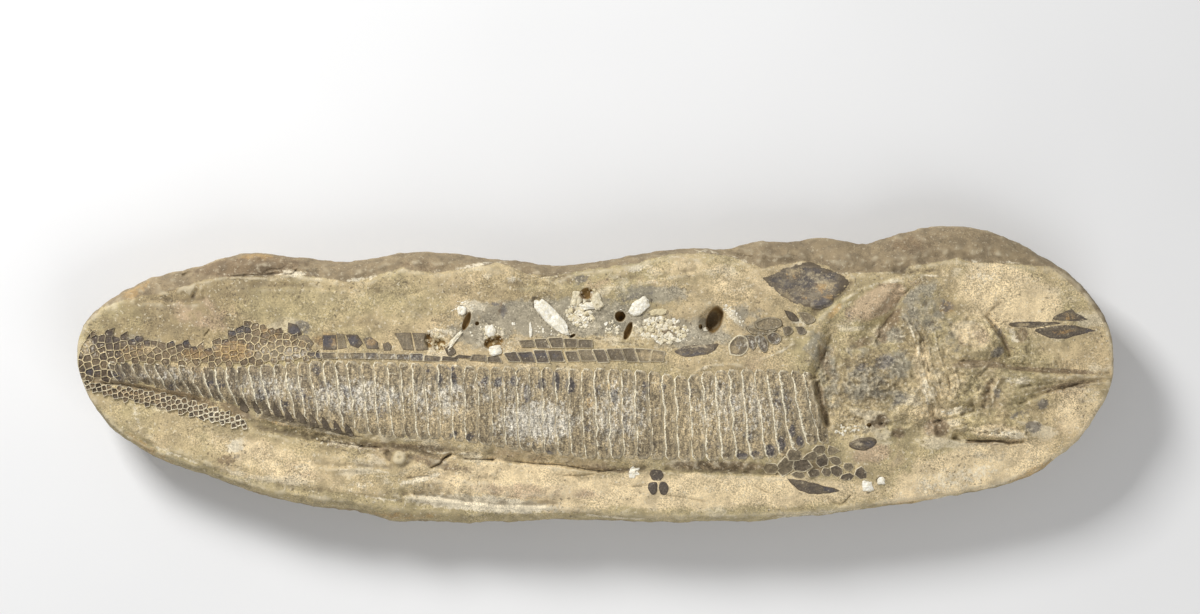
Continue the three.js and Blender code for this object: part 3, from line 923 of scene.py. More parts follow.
stoneTones = {
    "dim": [
        (172, -2, 30, 22, 15, 1.0), (200, 22, 14, 20, 30, 0.9), (190, 40, 12, 14, 40, 0.7), 
        (-250, 40, 80, 26, 14, 1.0), (-10, 38, 20, 9, -20, 0.6), (44, 28, 17, 9, -8, 0.7),
        (-60, 52, 60, 10, 0, 0.5), (-285, 50, 26, 8, 34, 0.8), (206, 78, 22, 10, -6, 0.7),
        (-30, 74, 60, 6, 0, 0.5), (196, 30, 18, 20, 30, 0.5), (176, 2, 26, 22, 0, 0.45),
        (110, 76, 26, 7, 0, 0.5),
        (-200, 34, 30, 8, 0, 0.4), (268, -22, 20, 8, 20, 0.4),
    ],
    # paler stone; the wide spots along the lower part of the face also add painted light from below
    "bright": [
        (252, -36, 22, 6, 0, 0.7), (206, 4, 8, 24, 6, 0.6), (240, 24, 12, 12, 0, 0.7),
        (-60, -80, 70, 10, -4, 0.9),
        (232, -70, 60, 16, 14, 1.0), (212, -24, 20, 5, 0, 0.6),
        (262, 48, 50, 26, -20, 0.8), (60, -74, 150, 14, 0, 0.85), (240, -62, 60, 22, 14, 1.0),
        (160, 78, 26, 8, -4, 0.55), (-60, -66, 60, 14, 0, 0.8),
        (-210, -52, 60, 14, -18, 0.6), (90, 58, 40, 12, 0, 0.5), (305, -24, 24, 22, 0, 0.6),
        (60, 66, 40, 8, 0, 0.5),
        (225, -4, 14, 18, 0, 0.4), (236, 26, 16, 9, -20, 0.6),
    ],
    "grey": [
        (36, 51, 34, 7, 0, 0.75), (-290, 20, 20, 10, 0, 0.4),
        (-20, 36, 78, 16, 0, 0.9), (-72, 28, 26, 14, 10, 0.8), (60, 26, 34, 14, 0, 0.8),
        (96, 36, 16, 12, -30, 0.5),
        (205, 40, 22, 22, 60, 0.55), (170, -6, 20, 16, 20, 0.6), (186, -14, 16, 8, -20, 0.5),
        (190, 6, 14, 12, 30, 0.7), (148, -4, 8, 30, 4, 0.6),
        (222, 24, 14, 20, 0, 0.4), (165, 14, 12, 8, -20, 0.5), (206, 52, 16, 8, 30, 0.6),
        (140, 16, 10, 16, 0, 0.6), (252, -52, 18, 5, -8, 0.4), (185, 24, 14, 8, 20, 0.6),
    ],
    "pink": [
        (178, 46, 24, 11, 26, 1.0), (-250, 38, 30, 15, 0, 0.5), (-40, -74, 62, 7, -2, 0.5),
        (174, -50, 18, 9, 10, 0.7),
        (214, -34, 12, 8, 0, 0.6), (240, 22, 18, 10, -20, 0.4), (-176, -64, 16, 6, 0, 0.4),
        (20, 58, 40, 8, 0, 0.4),
        (100, -4, 40, 10, 0, 0.4),
    ],
    "olive": [
        (-187, 44, 52, 18, 0, 0.7), (-250, -44, 60, 10, -24, 0.4), (-300, 34, 20, 16, 20, 0.5),
        (-120, 44, 50, 16, 0, 0.5), (-40, 56, 30, 6, 0, 0.5),
    ],
    "rust": [
        (274, -66, 24, 6, 30, 0.9), (-215, 75, 14, 4, 0, 0.9), (195, -84, 60, 4, 8, 0.6),
        (-292, 52, 16, 5, 30, 0.5),
        (151, 40, 8, 3, 48, 0.9), (-200, -30, 20, 3, -14, 0.6), (222, 42, 7, 6, 0, 0.6),
        (-140, -90, 60, 4, 0, 0.5),
        (-170, 22, 12, 6, 0, 0.6), (-280, -50, 30, 4, -36, 0.5),
    ],
    # brown stains, and brown painted shadow under the flank's lower edge and the belly ledge, at the
    # shoulder, beside the skull plate, under the cheek plate and along the snout, and round the jaw block
    "brown": [
        (43, 28, 17, 9, -8, 0.6), (-9.8, 36.8, 10, 7, -32, 0.6), (-5, 46, 9, 7, 20, 0.5),
        (-103, 20, 9, 7, 0, 0.5), (-63, 19, 9, 7, 0, 0.5),
        (246, 6.6, 20, 2.6, -4, 0.95), (187, 34, 12, 3.4, 52, 1.0), (181, 25, 5, 7, 10, 0.8),
        (-222, 68, 46, 8, 2, 0.9), (200, 82, 20, 8, 0, 0.55), (-110, 68, 26, 5, 0, 0.45), 
        (217, -35, 4, 6, 0, 0.9), (246, -43.4, 16, 1.8, 0, 0.9), (178, -31, 7, 4, 0, 0.9),
        (300, -7, 26, 2.4, 8, 0.7),
        (78, -58, 44, 4.5, -1, 0.75), (130, -58, 24, 9, -10, 0.55), (-130, -46, 62, 4, -3, 0.6),
        (-190, -27, 30, 5, -18, 0.5),
        (188, 33, 9, 4, 50, 0.8), (168, 20, 12, 4, 20, 0.6), (180, -29, 8, 5, 0, 0.8),
        (192, -37, 6, 5, 0, 0.7),
        (-100, -56, 30, 5, -14, 0.6), (270, 25, 8, 5, 60, 0.7), (-20, 61, 10, 6, 0, 0.5),
        (236, 6, 14, 3, 0, 0.8), (-234, -54, 8, 4.5, 0, 0.7), (300, -8, 24, 3, 12, 0.5),
        (207, 60, 18, 5, 16, 0.4), (142, -20, 6, 22, 8, 0.7), (145, 8, 5, 14, 14, 0.6),
        (12, -60, 30, 3, -4, 0.6),
        (220, -34, 5, 8, 0, 0.8), (252, -43, 22, 2.4, 0, 0.7), (288, 2.4, 38, 2.0, -3, 1.0),
        (248, -12, 3, 10, 6, 0.6),
        (-214, 24, 16, 8, 0, 0.4), (-292, -7.6, 26, 2.6, -12, 1.0), (-258, -14, 24, 3.6, -18, 1.0),
        (-228, -23, 14, 4, -22, 1.0), (-316, -4, 10, 2, -8, 0.9), (259, 21, 3, 12, 22, 0.6),
        (-176, 21, 14, 6, 0, 0.5), (-60, 41, 6, 6, 0, 0.5),
    ],
    "slate": [
        (-58, 40, 3.4, 7, -10, 0.7), (-9, 60.4, 7, 3.4, 20, 0.7), (-64, 45, 3, 2.4, 0, 0.6),
        (182, 8, 8, 6, 30, 0.75), (168, 5, 6, 4, 0, 0.6), (192, -16, 9, 5, 20, 0.5), (254, 14, 6, 4, 30, 0.8),
        (222, 43, 6, 4.5, 0, 0.7), (283, -19, 4.6, 4, 40, 1.0), (277, -33, 7, 4.4, 0, 0.9),
        (268, -25, 9, 3, 20, 0.6),
        (160, 38, 4, 3, 0, 0.5), (255, 27, 4, 7, 24, 0.55), (254, -12, 3, 6, 5, 0.6),
        (-227, -53, 4, 3, 0, 0.5),
        (25, 49, 16, 3, 14, 0.5), (-10, 60, 7, 5, 30, 0.45),
        (-185, 30, 8, 5, -40, 0.7),
    ],
    # pale colour; the long strip along the lower rim at x -72, y -82 is a painted reflection of the floor
    "pale": [
        (-291, -25, 3, 9, 10, 0.45), (-228, -46, 7, 5, 10, 0.8), (-110, -66, 20, 3, 14, 0.6),
        (-72, -82, 58, 6, -4, 1.0), (228, -66, 44, 9, 13, 0.45), (26, 67, 8, 2.4, 12, 0.9),
        (-52, 60, 6, 3, 0, 0.5), (262, -38, 16, 3.4, -4, 0.65),
        (228, -23, 12, 3, 8, 0.65), (245, 62, 14, 7, 0, 0.4), (86, 38, 9, 3.2, -46, 0.8),
        (-150, -70, 14, 4, 10, 0.4),
        (150, -88, 40, 3, 4, 0.5), (208, -8, 2.4, 16, 12, 0.6), (154, 60.5, 8, 2, -20, 0.8),
        (268, -4, 12, 3, 0, 0.6),
        (-193, 64, 8, 3, -20, 0.7), (265, 24, 3.4, 8, 24, 0.6), (252, -72, 20, 3, 16, 0.5),
        (213, -12, 5, 6, 0, 0.5), (30, 28, 12, 10, 0, 0.4), (-78, 43, 12, 5, 0, 0.75),
        (-66, 24, 12, 11, 0, 0.5),
        (-98, 26, 14, 5, 0, 0.55), (-228, -44, 8, 6, 30, 0.5), (-158, -44.5, 22, 2.4, -10, 0.5),
        (-4, 30, 14, 4, 0, 0.4),
        (130, 33, 8, 3, -10, 0.5), 
    ],
}


def makeSlabBody():
    slab = bpy.data.objects.new("slabBody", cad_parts["fossil_slab"].data.copy())
    bpy.context.scene.collection.objects.link(slab)
    edit(slab)
    bpy.ops.mesh.select_all(action="SELECT")
    bpy.ops.mesh.remove_doubles(threshold=0.00001)
    endEdit()
    useModifier(slab, "REMESH", mode="VOXEL", voxel_size=slabSet["voxel"] * mm)
    useModifier(slab, "SMOOTH", factor=0.5, iterations=12)
    return slab


def onFace(points):
    # 1 on the split face, 0 on the weathered skin round and under it
    beyondCrest = points[:, 1] - lineAt(slabSet["crest"], points[:, 0])
    beyondBand = lineAt(slabSet["lowerBand"], points[:, 0]) - points[:, 1]
    ragged = 1.0 * lumpy(points, 5, 3) + 0.5 * lumpy(points, 2, 4)
    out = np.maximum(beyondCrest, beyondBand) + ragged
    return smooth(0.5 - out / 1.6) * smooth((points[:, 2] - 34) / 5)


def underScales(points, margin):
    # 1 where a scale covers the rock
    x, y = points[:, 0], points[:, 1]
    low = lineAt(fish["flankBottom"], x) + margin
    high = np.where(x < -176, lineAt(fish["tailTop"], x), lineAt(fish["flankTop"], x)) - margin
    inside = (y > low) & (y < high) & (x > -324 + margin) & (x < 133 - margin)
    return (inside & (points[:, 2] > 36)).astype(float)


def nearPits(points, margin):
    near = np.zeros(len(points), bool)
    for x, y, halfX, halfY, turn, depth in pits:
        near |= ovalReach(points, x, y, halfX + margin, halfY + margin, turn) < 1
    return near & (points[:, 2] > 36)


def refine(slab, chosen):
    editFaces(slab, chosen)
    bpy.ops.mesh.subdivide(number_cuts=1)
    endEdit()


def thinAndRefine(slab):
    hidden = {"underShare": lambda p: p[:, 2] < 30, "hiddenShare": lambda p: underScales(p, 5) > 0.5}
    for share, chosen in hidden.items():
        editFaces(slab, chosen(faceCentres(slab)))
        bpy.ops.mesh.decimate(ratio=slabSet[share])
        endEdit()
    centres = faceCentres(slab)
    onHead = (ovalReach(centres, *slabSet["fineHead"]) < 1) & (centres[:, 2] > 44)
    fine = onHead | nearPits(centres, 1.6)
    for half, depth, line in cracks:
        fine |= (strokeShape(centres, "groove", half + 1.6, line) > 0.05) & (centres[:, 2] > 36)
    refine(slab, fine)
    refine(slab, nearPits(faceCentres(slab), 0.9))


def carveSlab(slab):
    points = readPoints(slab)
    face = onFace(points)
    bare = 1 - smooth(neighbourMean(slab, underScales(points, 1), 6))
    up = smooth((points[:, 2] - 36) / 5)
    head = smooth((1.1 - ovalReach(points, *slabSet["brokenHead"])) / 0.3) * up
    places = {
        "skin": (1 - face) * smooth((points[:, 2] - 4) / 8),
        "lowSkin": (1 - face) * smooth((points[:, 2] - 2) / 5),
        "bare": face * bare,
        "chipped": face * bare * smooth(lumpy(points, 30, 8) + 0.4),
        "head": head * face,
        "broken": spotShape(points, roughSpots) * up,
    }
    for place, height, texture in roughness:
        displace(slab, height, places[place], texture, "NORMAL" if place in ("skin", "lowSkin") else "Z")
    # the rock sinks a little under the scales, and the split face is worn along its two edges
    relief = -0.5 * (1 - bare)
    crest = [p for p in slabSet["crest"] if -320 < p[0] < 320]
    relief += 0.8 * strokeShape(points, "groove", 2.6, crest, 4)
    relief -= 1.8 * strokeShape(points, "step", 8, crest, 6)
    relief -= 1.0 * strokeShape(points, "ledge", 6, slabSet["lowerBand"][2:-3], 6)
    for x, y, halfX, halfY, turn, rise in mounds:
        relief += rise * up * smooth((1.25 - ovalReach(points, x, y, halfX, halfY, turn)) / 0.8)
    for count, (kind, half, rise, line) in enumerate(strokes):
        relief += rise * up * strokeShape(points, kind, half, line, count)
    for count, (half, depth, line) in enumerate(cracks):
        relief += depth * up * strokeShape(points, "groove", half + 0.5, line, count)
    shapeRelief(slab, relief)
    sunk = np.zeros(len(points))
    for x, y, halfX, halfY, turn, depth in pits:
        reach = ovalReach(points, x, y, halfX, halfY, turn) + 0.06 * lumpy(points, 2, 3)
        sunk = np.minimum(sunk, depth * up * smooth((1.12 - reach) / 0.34))
    shapeRelief(slab, sunk)
    points = readPoints(slab)
    points[:, 2] = np.maximum(points[:, 2], 0)
    writePoints(slab, points)


def paintSlab(slab):
    points = readPoints(slab)
    face = onFace(points)
    top = smooth((points[:, 2] - 36) / 5)
    for name, spots in stoneTones.items():
        paint(slab, name, spotShape(points, spots) * top)
    # the weathered rind round and under the face, made darker towards the back, where it is partly painted
    # shade on that side
    paint(slab, "rind", (1 - face) * smooth((points[:, 1] + 20) / 60) + (1 - top) * 0.6)
    crest = [p for p in slabSet["crest"] if -300 < p[0] < 305]
    edge = strokeShape(points, "step", 3.0, crest, 4) * (0.3 + 0.6 * lumpy(points, 13, 9))
    # painted reflection of the floor: a pale band along the lower edge of the face
    band = strokeShape(points, "ledge", 2.6, slabSet["lowerBand"][2:-2], 4)
    band *= 0.35 + 0.4 * lumpy(points, 20, 5)
    pale = np.maximum(np.maximum(edge, band), spotShape(points, stoneTones["pale"]) * top)
    brown = spotShape(points, stoneTones["brown"])
    # thin raised strokes take the pale colour of bone edges; thin sunk strokes get brown painted shade along
    # the groove
    for count, (kind, half, rise, line) in enumerate(strokes):
        if half < 2.7:
            shape = strokeShape(points, "groove", half * 0.8, line, count)
            shape *= 0.45 + 0.75 * lumpy(points, 4.4, count)
            pale = np.maximum(pale, 0.75 * shape * (rise > 0))
            brown = np.maximum(brown, 0.7 * shape * (rise < 0))
    paint(slab, "pale", pale)
    paint(slab, "brown", brown * top)
    head = smooth((1.1 - ovalReach(points, *slabSet["dirtyHead"])) / 0.3)
    paint(slab, "broken", np.maximum(spotShape(points, roughSpots), 0.6 * head) * top)
    olive = spotShape(points, stoneTones["olive"])
    paint(slab, "olive", np.maximum(olive * top, (1 - face) * smooth((-points[:, 1] - 8) / 20) * 0.8))
    # painted shadow, near black: along the cracks, in the lower right of each pit and part of the way round
    # each lump
    paintedShadow = np.zeros(len(points))
    for count, (half, depth, line) in enumerate(cracks):
        worn = 0.7 + 0.35 * lumpy(points, 5, count)
        paintedShadow = np.maximum(paintedShadow, worn * strokeShape(points, "groove", half, line, count))
    inside = np.zeros(len(points))
    for x, y, halfX, halfY, turn, depth in pits:
        reach = ovalReach(points, x, y, halfX, halfY, turn) + 0.05 * lumpy(points, 2, 3)
        inside = np.maximum(inside, smooth((1.12 - reach) / 0.2) * min(1, -depth / 3))
        # painted shadow in the lower right of each pit
        deep = ovalReach(points, x + 0.15 * halfX, y - 0.25 * halfY, halfX, halfY, turn)
        paintedShadow = np.maximum(paintedShadow, smooth((0.75 - deep) / 0.5) * min(1, -depth / 8))
    for x, y, halfX, halfY, rise, turn, tone, ragged in lumpSet:
        # painted shadow: a dark line part of the way round each lump, set a little to its lower right
        off = np.abs(ovalReach(points, x + 0.3, y - 0.3, halfX, halfY, turn) - 1.22) * halfY
        lumpShadow = smooth(1.3 - off / 0.6) * smooth(0.7 + lumpy(points, 3.4, 12))
        paintedShadow = np.maximum(paintedShadow, 0.95 * lumpShadow * (halfX > 2))
    paint(slab, "pit", inside * top)
    paint(slab, "paintedShadow", paintedShadow * top)
    paintHollows(slab)


print("shaping the rock")
slab = makeSlabBody()
thinAndRefine(slab)
carveSlab(slab)
paintSlab(slab)
useModifier(slab, "DECIMATE", ratio=slabSet["finalShare"])
slabTree = BVHTree.FromObject(slab, bpy.context.evaluated_depsgraph_get())
finishPiece(slab, "limestone_slab", makeStoneFinish(), 180)
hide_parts("fossil_slab")


# Scales and bones, laid on the rock
def rockHeight(points):
    out = np.empty(len(points))
    down = Vector((0, 0, -1))
    for i, (x, y) in enumerate(points[:, :2] * mm):
        hit = slabTree.ray_cast(Vector((x, y, 0.09)), down)[0]
        out[i] = hit.z * 1000 if hit else 34.0
    return out


def settle(piece):
    # local heights become heights above the rock under each point
    points = readPoints(piece)
    points[:, 2] += rockHeight(points)
    writePoints(piece, points)


def paintField(field, spots):
    settle(field)
    points = readPoints(field)
    for name in ("dust", "sand", "dark", "rust"):
        paint(field, name, spotShape(points, spots.get(name, [])))
    paintHollows(field, 2, 0.3)
    return field


def joinAll(pieces):
    bpy.ops.object.select_all(action="DESELECT")
    for piece in pieces:
        piece.select_set(True)
    bpy.context.view_layer.objects.active = pieces[0]
    bpy.ops.object.join()
    return pieces[0]


def copyOf(unit, points, tone):
    piece = unit.copy()
    piece.data = unit.data.copy()
    bpy.context.scene.collection.objects.link(piece)
    writePoints(piece, points)
    paint(piece, "tone", np.full(len(points), tone))
    return piece


def makeLongScale():
    # one tall flank scale as a closed unit plate: x 0 to 1 along the fish, y 0 to 1 up the flank
    counts = {"x_subdivisions": len(flankSet["columns"]) - 1, "y_subdivisions": flankSet["rows"]}
    bpy.ops.mesh.primitive_grid_add(size=1, location=(0.5, 0.5, 0), **counts)
    unit = bpy.context.object
    selectOnly(unit)
    bpy.ops.object.transform_apply(location=True)
    edit(unit, "EDGE")
    bpy.ops.mesh.select_non_manifold()
    bpy.ops.mesh.extrude_edges_move(TRANSFORM_OT_translate={"value": (0, 0, -1)})
    bpy.ops.mesh.edge_face_add()
    bpy.ops.mesh.select_all(action="SELECT")
    bpy.ops.mesh.normals_make_consistent(inside=False)
    endEdit()
    return unit


def makeDiscScale(corners, insets):
    # one small scale or bone as a closed unit disc with rings
    bpy.ops.mesh.primitive_cylinder_add(vertices=corners, radius=1, depth=1, location=(0, 0, -0.5))
    unit = bpy.context.object
    selectOnly(unit)
    bpy.ops.object.transform_apply(location=True)
    editFaces(unit, faceCentres(unit)[:, 2] > -1)
    for inset in insets:
        bpy.ops.mesh.inset(thickness=inset)
    bpy.ops.mesh.poke()
    endEdit()
    return unit


scaleDepth = 3  # how far scales and bones reach into the rock
flankSet = {
    "start": -309, "end": 131,
    "pitch": [[-319, 7.5], [-230, 7.7], [-90, 8.4], [30, 8.5], [80, 8.0], [131, 7.4]],
    "lean": [
        [-309, 5], [-290, 7], [-266, 7.5], [-220, 7], [-180, 6.5], [-130, 5], [-90, 2.5], [30, 2],
        [80, 4.5], [131, 12],
    ],
    "rows": 56,
    "rimAcross": [
        [0, 0.25], [0.03, 0.55], [0.07, 0.72], [0.12, 0.5], [0.2, 0.12], [0.5, 0.16], [0.82, 0.26],
        [0.94, 0.16], [1, -0.35],
    ],
    "boldRim": [[-300, 0.7], [-240, 1.0], [-130, 0.8], [-70, 0.5], [30, 0.65], [80, 1.3]],
    "tone": [[-320, 0.9], [-285, 0.6], [-200, 0.4], [-130, 0.25], [131, 0.15]],
    "columns": [0, 0.025, 0.06, 0.1, 0.15, 0.22, 0.33, 0.47, 0.6, 0.73, 0.85, 0.94, 1.0],
}
flankTones = {
    "dust": [
        (-36, -30, 34, 17, 0, 0.62), (-150, -14, 44, 14, 0, 0.48), (14, -24, 26, 26, 0, 0.42),
        (90, -22, 44, 24, 0, 0.36),
        (-100, -16, 30, 16, 0, 0.42), (-205, -8, 30, 10, 0, 0.42), (-270, 0, 30, 6, 0, 0.3),
        (-60, -10, 40, 10, 0, 0.34),
        (-88, -9, 7, 4, 0, 0.7),
    ],
    "sand": [
        (70, -30, 34, 24, 0, 0.6), (-92, -30, 24, 12, 0, 0.8), (110, -44, 24, 10, 0, 0.45),
        (8, -14, 8, 20, 0, 0.6),
        (-30, 1, 60, 5, 0, 0.5), (40, -6, 16, 8, 0, 0.7), (-130, -26, 24, 10, 0, 0.5),
        (100, -10, 12, 26, 0, 0.4),
        (-35, -44, 5, 5, 0, 0.6),
    ],
    "dark": [
        (-105, 2, 3, 2, 0, 0.6), (-99, -2, 2.6, 5, 0, 1.0), (-91, 4, 3, 2.4, 0, 0.8),
        (-90, -3.5, 3, 7, 0, 0.95),
        (-70, -4, 3.4, 5, -20, 0.7), (-61, -5, 3.4, 5, -30, 0.9), (-51, -4, 3.4, 5, 0, 0.85),
        (-43, -12, 2.8, 7, 0, 1.0),
        (-34, -6, 3.2, 5, 0, 0.8), (-25, -5, 3, 9, 0, 0.95), (-16, -7, 4, 6, 0, 0.9),
        (-30, -50, 4, 3, 0, 0.8),
        (12, -14, 4, 8, 0, 0.6), (1, -10, 3, 7, 0, 0.55), (32, -9, 4, 8, 0, 0.55), (42, -8, 4, 6, 0, 0.55),
        (92, -52, 5, 3.6, 0, 0.85), (101, -50, 4, 3.4, 0, 0.6), (110, -48, 4, 5, 0, 0.95),
        (117, -44, 4, 6, 0, 0.85),
        (124, -36, 3, 5, 0, 0.8), (129, -42, 3, 4, 0, 0.9), (-155, -11, 6, 5, 0, 0.7),
        (-176, 3, 4, 6, 0, 0.55),
        (-186, -14, 5, 7, 0, 0.5), (-210, -12, 6, 8, 0, 0.55), (-197, -20, 6, 5, 0, 0.6),
        (86, -20, 5, 12, 0, 0.45),
        (-5, -34, 5, 4, 0, 0.5), (-304, -1, 9, 4, 0, 0.55), (-267, -8, 5, 4, 0, 0.5),
        (-80, -40, 5, 3, 40, 0.7), (-90, -38, 4, 3, 30, 0.7), (96, -38, 4, 4, 0, 0.6), (8, -36, 3, 3, 0, 0.7),
        (60, -10, 6, 6, 0, 0.45), (-136, -24, 6, 6, 0, 0.5), (-124, -14, 5, 6, 0, 0.45),
        (-170, -8, 5, 7, 0, 0.5),
        (-240, -6, 10, 5, 0, 0.5), (118, -16, 10, 12, 0, 0.45), (75, -44, 16, 5, 0, 0.4),
    ],
    "rust": [(-4, -18, 2, 4, 0, 0.8), (8, -8, 2, 3, 0, 0.8), (-250, 4, 8, 4, 0, 0.5),
        (118, -52, 4, 3, 0, 0.8)],
}


def flankLine(x):
    # where the boundary between two scales starts at the top and ends at the bottom
    lean = lineAt(flankSet["lean"], x)
    top = np.array([x, lineAt(fish["flankTop"], x)])
    bottom = np.array([x + lean, lineAt(fish["flankBottom"], x + lean)])
    return top, bottom


def layLongScale(unit, left, right, chance, tone, leftWander, rightWander):
    points = readPoints(unit) / 1000
    u, v, z = points[:, 0].copy(), points[:, 1], points[:, 2]
    columns = flankSet["columns"]
    u = np.interp(u, np.linspace(0, 1, len(columns)), columns)
    height = np.linalg.norm(left[0] - left[1])
    fromEnd = np.minimum(v, 1 - v) * height
    across = lineAt(flankSet["rimAcross"], u)
    topRim = smooth(1 - np.abs((1 - v) * height - 1.0) / 0.9) * smooth((0.8 - u) / 0.3)
    rounding = smooth(1 - fromEnd / 3.6)
    drop = smooth(1 - fromEnd / 1.1)
    place = 0.5 + (u - 0.5) * (1 - 0.5 * rounding)
    a = left[1] + (left[0] - left[1]) * v[:, None]
    b = right[1] + (right[0] - right[1]) * v[:, None]
    a[:, 0] += leftWander[0] * np.sin(v * math.pi) + leftWander[1] * np.sin(2 * v * math.pi)
    b[:, 0] += rightWander[0] * np.sin(v * math.pi) + rightWander[1] * np.sin(2 * v * math.pi)
    flat = a + (b - a) * place[:, None]
    flat[:, 1] += chance.uniform(-0.8, 0.8) * (v - 0.5)
    flat[:, 0] += 0.9 * lumpy(flat * [0.3, 1], 6, 9) + 0.4 * lumpy(flat * [0.5, 1], 2.2, 3)
    worn = 0.72 + 0.45 * lumpy(np.column_stack([v * height, np.full(len(v), left[0][0])]), 6, 5)
    rise = 0.3 + across * worn + 0.3 * topRim + chance.uniform(-0.15, 0.15) - 1.4 * drop
    top = z > -0.5
    piece = copyOf(unit, np.column_stack([flat, np.where(top, rise, -scaleDepth)]), tone)
    ridge = smooth((0.13 - u) / 0.05) + 0.42 * smooth((0.42 - u) / 0.3)
    bold = lineAt(flankSet["boldRim"], left[0][0]) * chance.uniform(0.7, 1.2)
    paint(piece, "rim", np.where(top, np.maximum(ridge * worn * bold, 0.8 * topRim) * (1 - 0.6 * drop), 0))
    return piece


def makeFlank():
    chance = random.Random(7)
    unit = makeLongScale()
    x = flankSet["start"]
    edges = [flankLine(x)]
    while x < flankSet["end"]:
        x += lineAt(flankSet["pitch"], x) * chance.uniform(0.93, 1.07)
        edges.append(flankLine(x))
    wander = [(chance.uniform(-0.5, 0.5), chance.uniform(-0.35, 0.35)) for _ in edges]
    pieces = []
    for i in range(len(edges) - 1):
        x = edges[i][0][0]
        tone = lineAt(flankSet["tone"], x) + chance.uniform(-0.12, 0.16)
        pieces.append(layLongScale(unit, edges[i], edges[i + 1], chance, tone, wander[i], wander[i + 1]))
    bpy.data.objects.remove(unit)
    flank = joinAll(pieces)
    displace(flank, 0.45, None, fineCloud)
    displace(flank, 0.8, None, middleCloud)
    return paintField(flank, flankTones)


def keepSide(outline, point, away):
    # the part of an outline on the near side of a straight cut
    kept = []
    for i in range(len(outline)):
        p, q = outline[i - 1], outline[i]
        dp, dq = (p - point) @ away, (q - point) @ away
        if (dp > 0) != (dq > 0):
            kept.append(p + (q - p) * dp / (dp - dq))
        if dq <= 0:
            kept.append(q)
    return kept


def grownCells(low, high, start, end, pitch, height, jitter, lean, seed):
    # cells that fill the band between two lines: each point of a shaken grid grows until it meets the next.
    # Unused points all round leave the border ragged; a band of one row is trimmed close to its two lines
    chance = random.Random(seed)
    seeds = []
    oneRow = height > 15
    for column, x in enumerate(np.arange(start - pitch / 2, end + pitch, pitch)):
        room = lineAt(high, x) - lineAt(low, x)
        count = max(1, round(room / height))
        for r in range(0 if oneRow else -1, count + (not oneRow)):
            share = (r + 0.5 + (0.25 if column % 2 else -0.25) * (count > 1)) / count
            px = x + lean * (0.5 - share) + chance.uniform(-1, 1) * jitter
            py = lineAt(low, x) + room * share + chance.uniform(-1, 1) * jitter * (count > 1)
            seeds.append((np.array([px, py]), 0 <= r < count and start < x < end, share))
    cells = []
    reach = 1.1 * max(pitch, height)
    for p, used, share in seeds:
        if not used:
            continue
        outline = [p + np.array(c) * reach for c in ((-1, -1), (1, -1), (1, 1), (-1, 1))]
        for q, other, place in seeds:
            if 0 < np.hypot(*(q - p)) < 2.4 * reach:
                outline = keepSide(outline, (p + q) / 2, q - p)
        if oneRow:
            drop, lift = chance.uniform(-0.3, 0.9), chance.uniform(-0.3, 0.9)
            outline = [
                [cx + 0.5 * math.sin(cy + cx), min(max(cy, lineAt(low, cx) + drop), lineAt(high, cx) - lift)]
                for cx, cy in outline
            ]
        cells.append((outline, share))
    return cells


def layDisc(unit, outline, profile, tone, rimStart, rimStrength, tilt=(0, 0)):
    points = readPoints(unit) / 1000
    run = np.array(list(outline) + [outline[0]], float)
    stops = np.concatenate([[0], np.cumsum(np.hypot(*np.diff(run, axis=0).T))])
    stops /= stops[-1]
    centre = run[:-1].mean(0)
    radius = np.hypot(points[:, 0], points[:, 1])
    around = (np.arctan2(points[:, 1], points[:, 0]) / (2 * math.pi)) % 1
    edge = np.column_stack([np.interp(around, stops, run[:, i]) for i in range(2)])
    offset = (edge - centre) * np.minimum(radius, 1)[:, None]
    top = points[:, 2] > -0.5
    rise = np.where(top, lineAt(profile, radius) + offset @ np.array(tilt), -scaleDepth)
    piece = copyOf(unit, np.column_stack([centre + offset, rise]), tone)
    rim = smooth((radius - rimStart) / 0.14) * rimStrength
    paint(piece, "rim", np.where(top, rim, 0))
    return piece


def finishField(pieces, spots, rough):
    field = joinAll(pieces)
    displace(field, rough, None, fineCloud)
    displace(field, rough, None, middleCloud)
    return paintField(field, spots)


smallDisc = makeDiscScale(24, [0.08, 0.08, 0.12, 0.12, 0.2, 0.2])
wideDisc = makeDiscScale(48, [0.05, 0.06, 0.08, 0.1, 0.12, 0.14, 0.14, 0.14])
profiles = {
    # height in mm from a scale's centre to its edge
    "tail": [[0, 0.35], [0.7, 0.25], [0.8, 0.4], [0.9, 0.9], [0.97, 1.05], [1, 0.8]],
    "net": [[0, 0.4], [0.6, 0.45], [0.72, 0.6], [0.84, 1.2], [0.94, 1.35], [1, 1.0]],
    "square": [[0, 0.45], [0.7, 0.4], [0.82, 0.75], [0.94, 0.9], [1, 0.2]],
    "plate": [[0, 0.45], [0.8, 0.4], [0.94, 0.3], [1, -0.3]],
    "shard": [[0, 0.55], [0.6, 0.5], [0.82, 0.65], [0.94, 0.4], [1, -0.3]],
    "leaf": [[0, 0.9], [0.7, 0.8], [0.9, 1.0], [1, 0.1]],
    "oval": [[0, 0.55], [0.7, 0.45], [0.84, 0.85], [0.94, 0.85], [1, 0.1]],
}


tailSet = {
    "cells": {"start": -329, "end": -174, "pitch": 4.9, "height": 4.3, "jitter": 1.2, "lean": 3.0, "seed": 3},
    "marks": {
        "rust": [
            (-229, 15, 14, 7, 0, 1.0), (-252, 13, 12, 4, 0, 0.8),
            (-290, 14, 16, 6, 0, 0.35), (-206, 26, 8, 5, 0, 0.5),
        ],
        "dark": [
            (-292, 23, 5, 3, 0, 0.7), (-262, 21, 12, 3, 0, 0.7), (-225, 28, 10, 4, 20, 0.6),
            (-190, 28, 8, 5, -30, 0.8), (-318, 2, 8, 5, 0, 0.5),
        ],
        "sand": [(-200, 14, 22, 8, 0, 0.5), (-282, 16, 7, 5, 0, 0.5), (-324, 18, 7, 9, 0, 0.6)],
        "dust": [(-198, 14, 26, 9, 0, 0.35), (-322, 16, 8, 8, 0, 0.3)],
    },
    "roughness": 0.5,
}


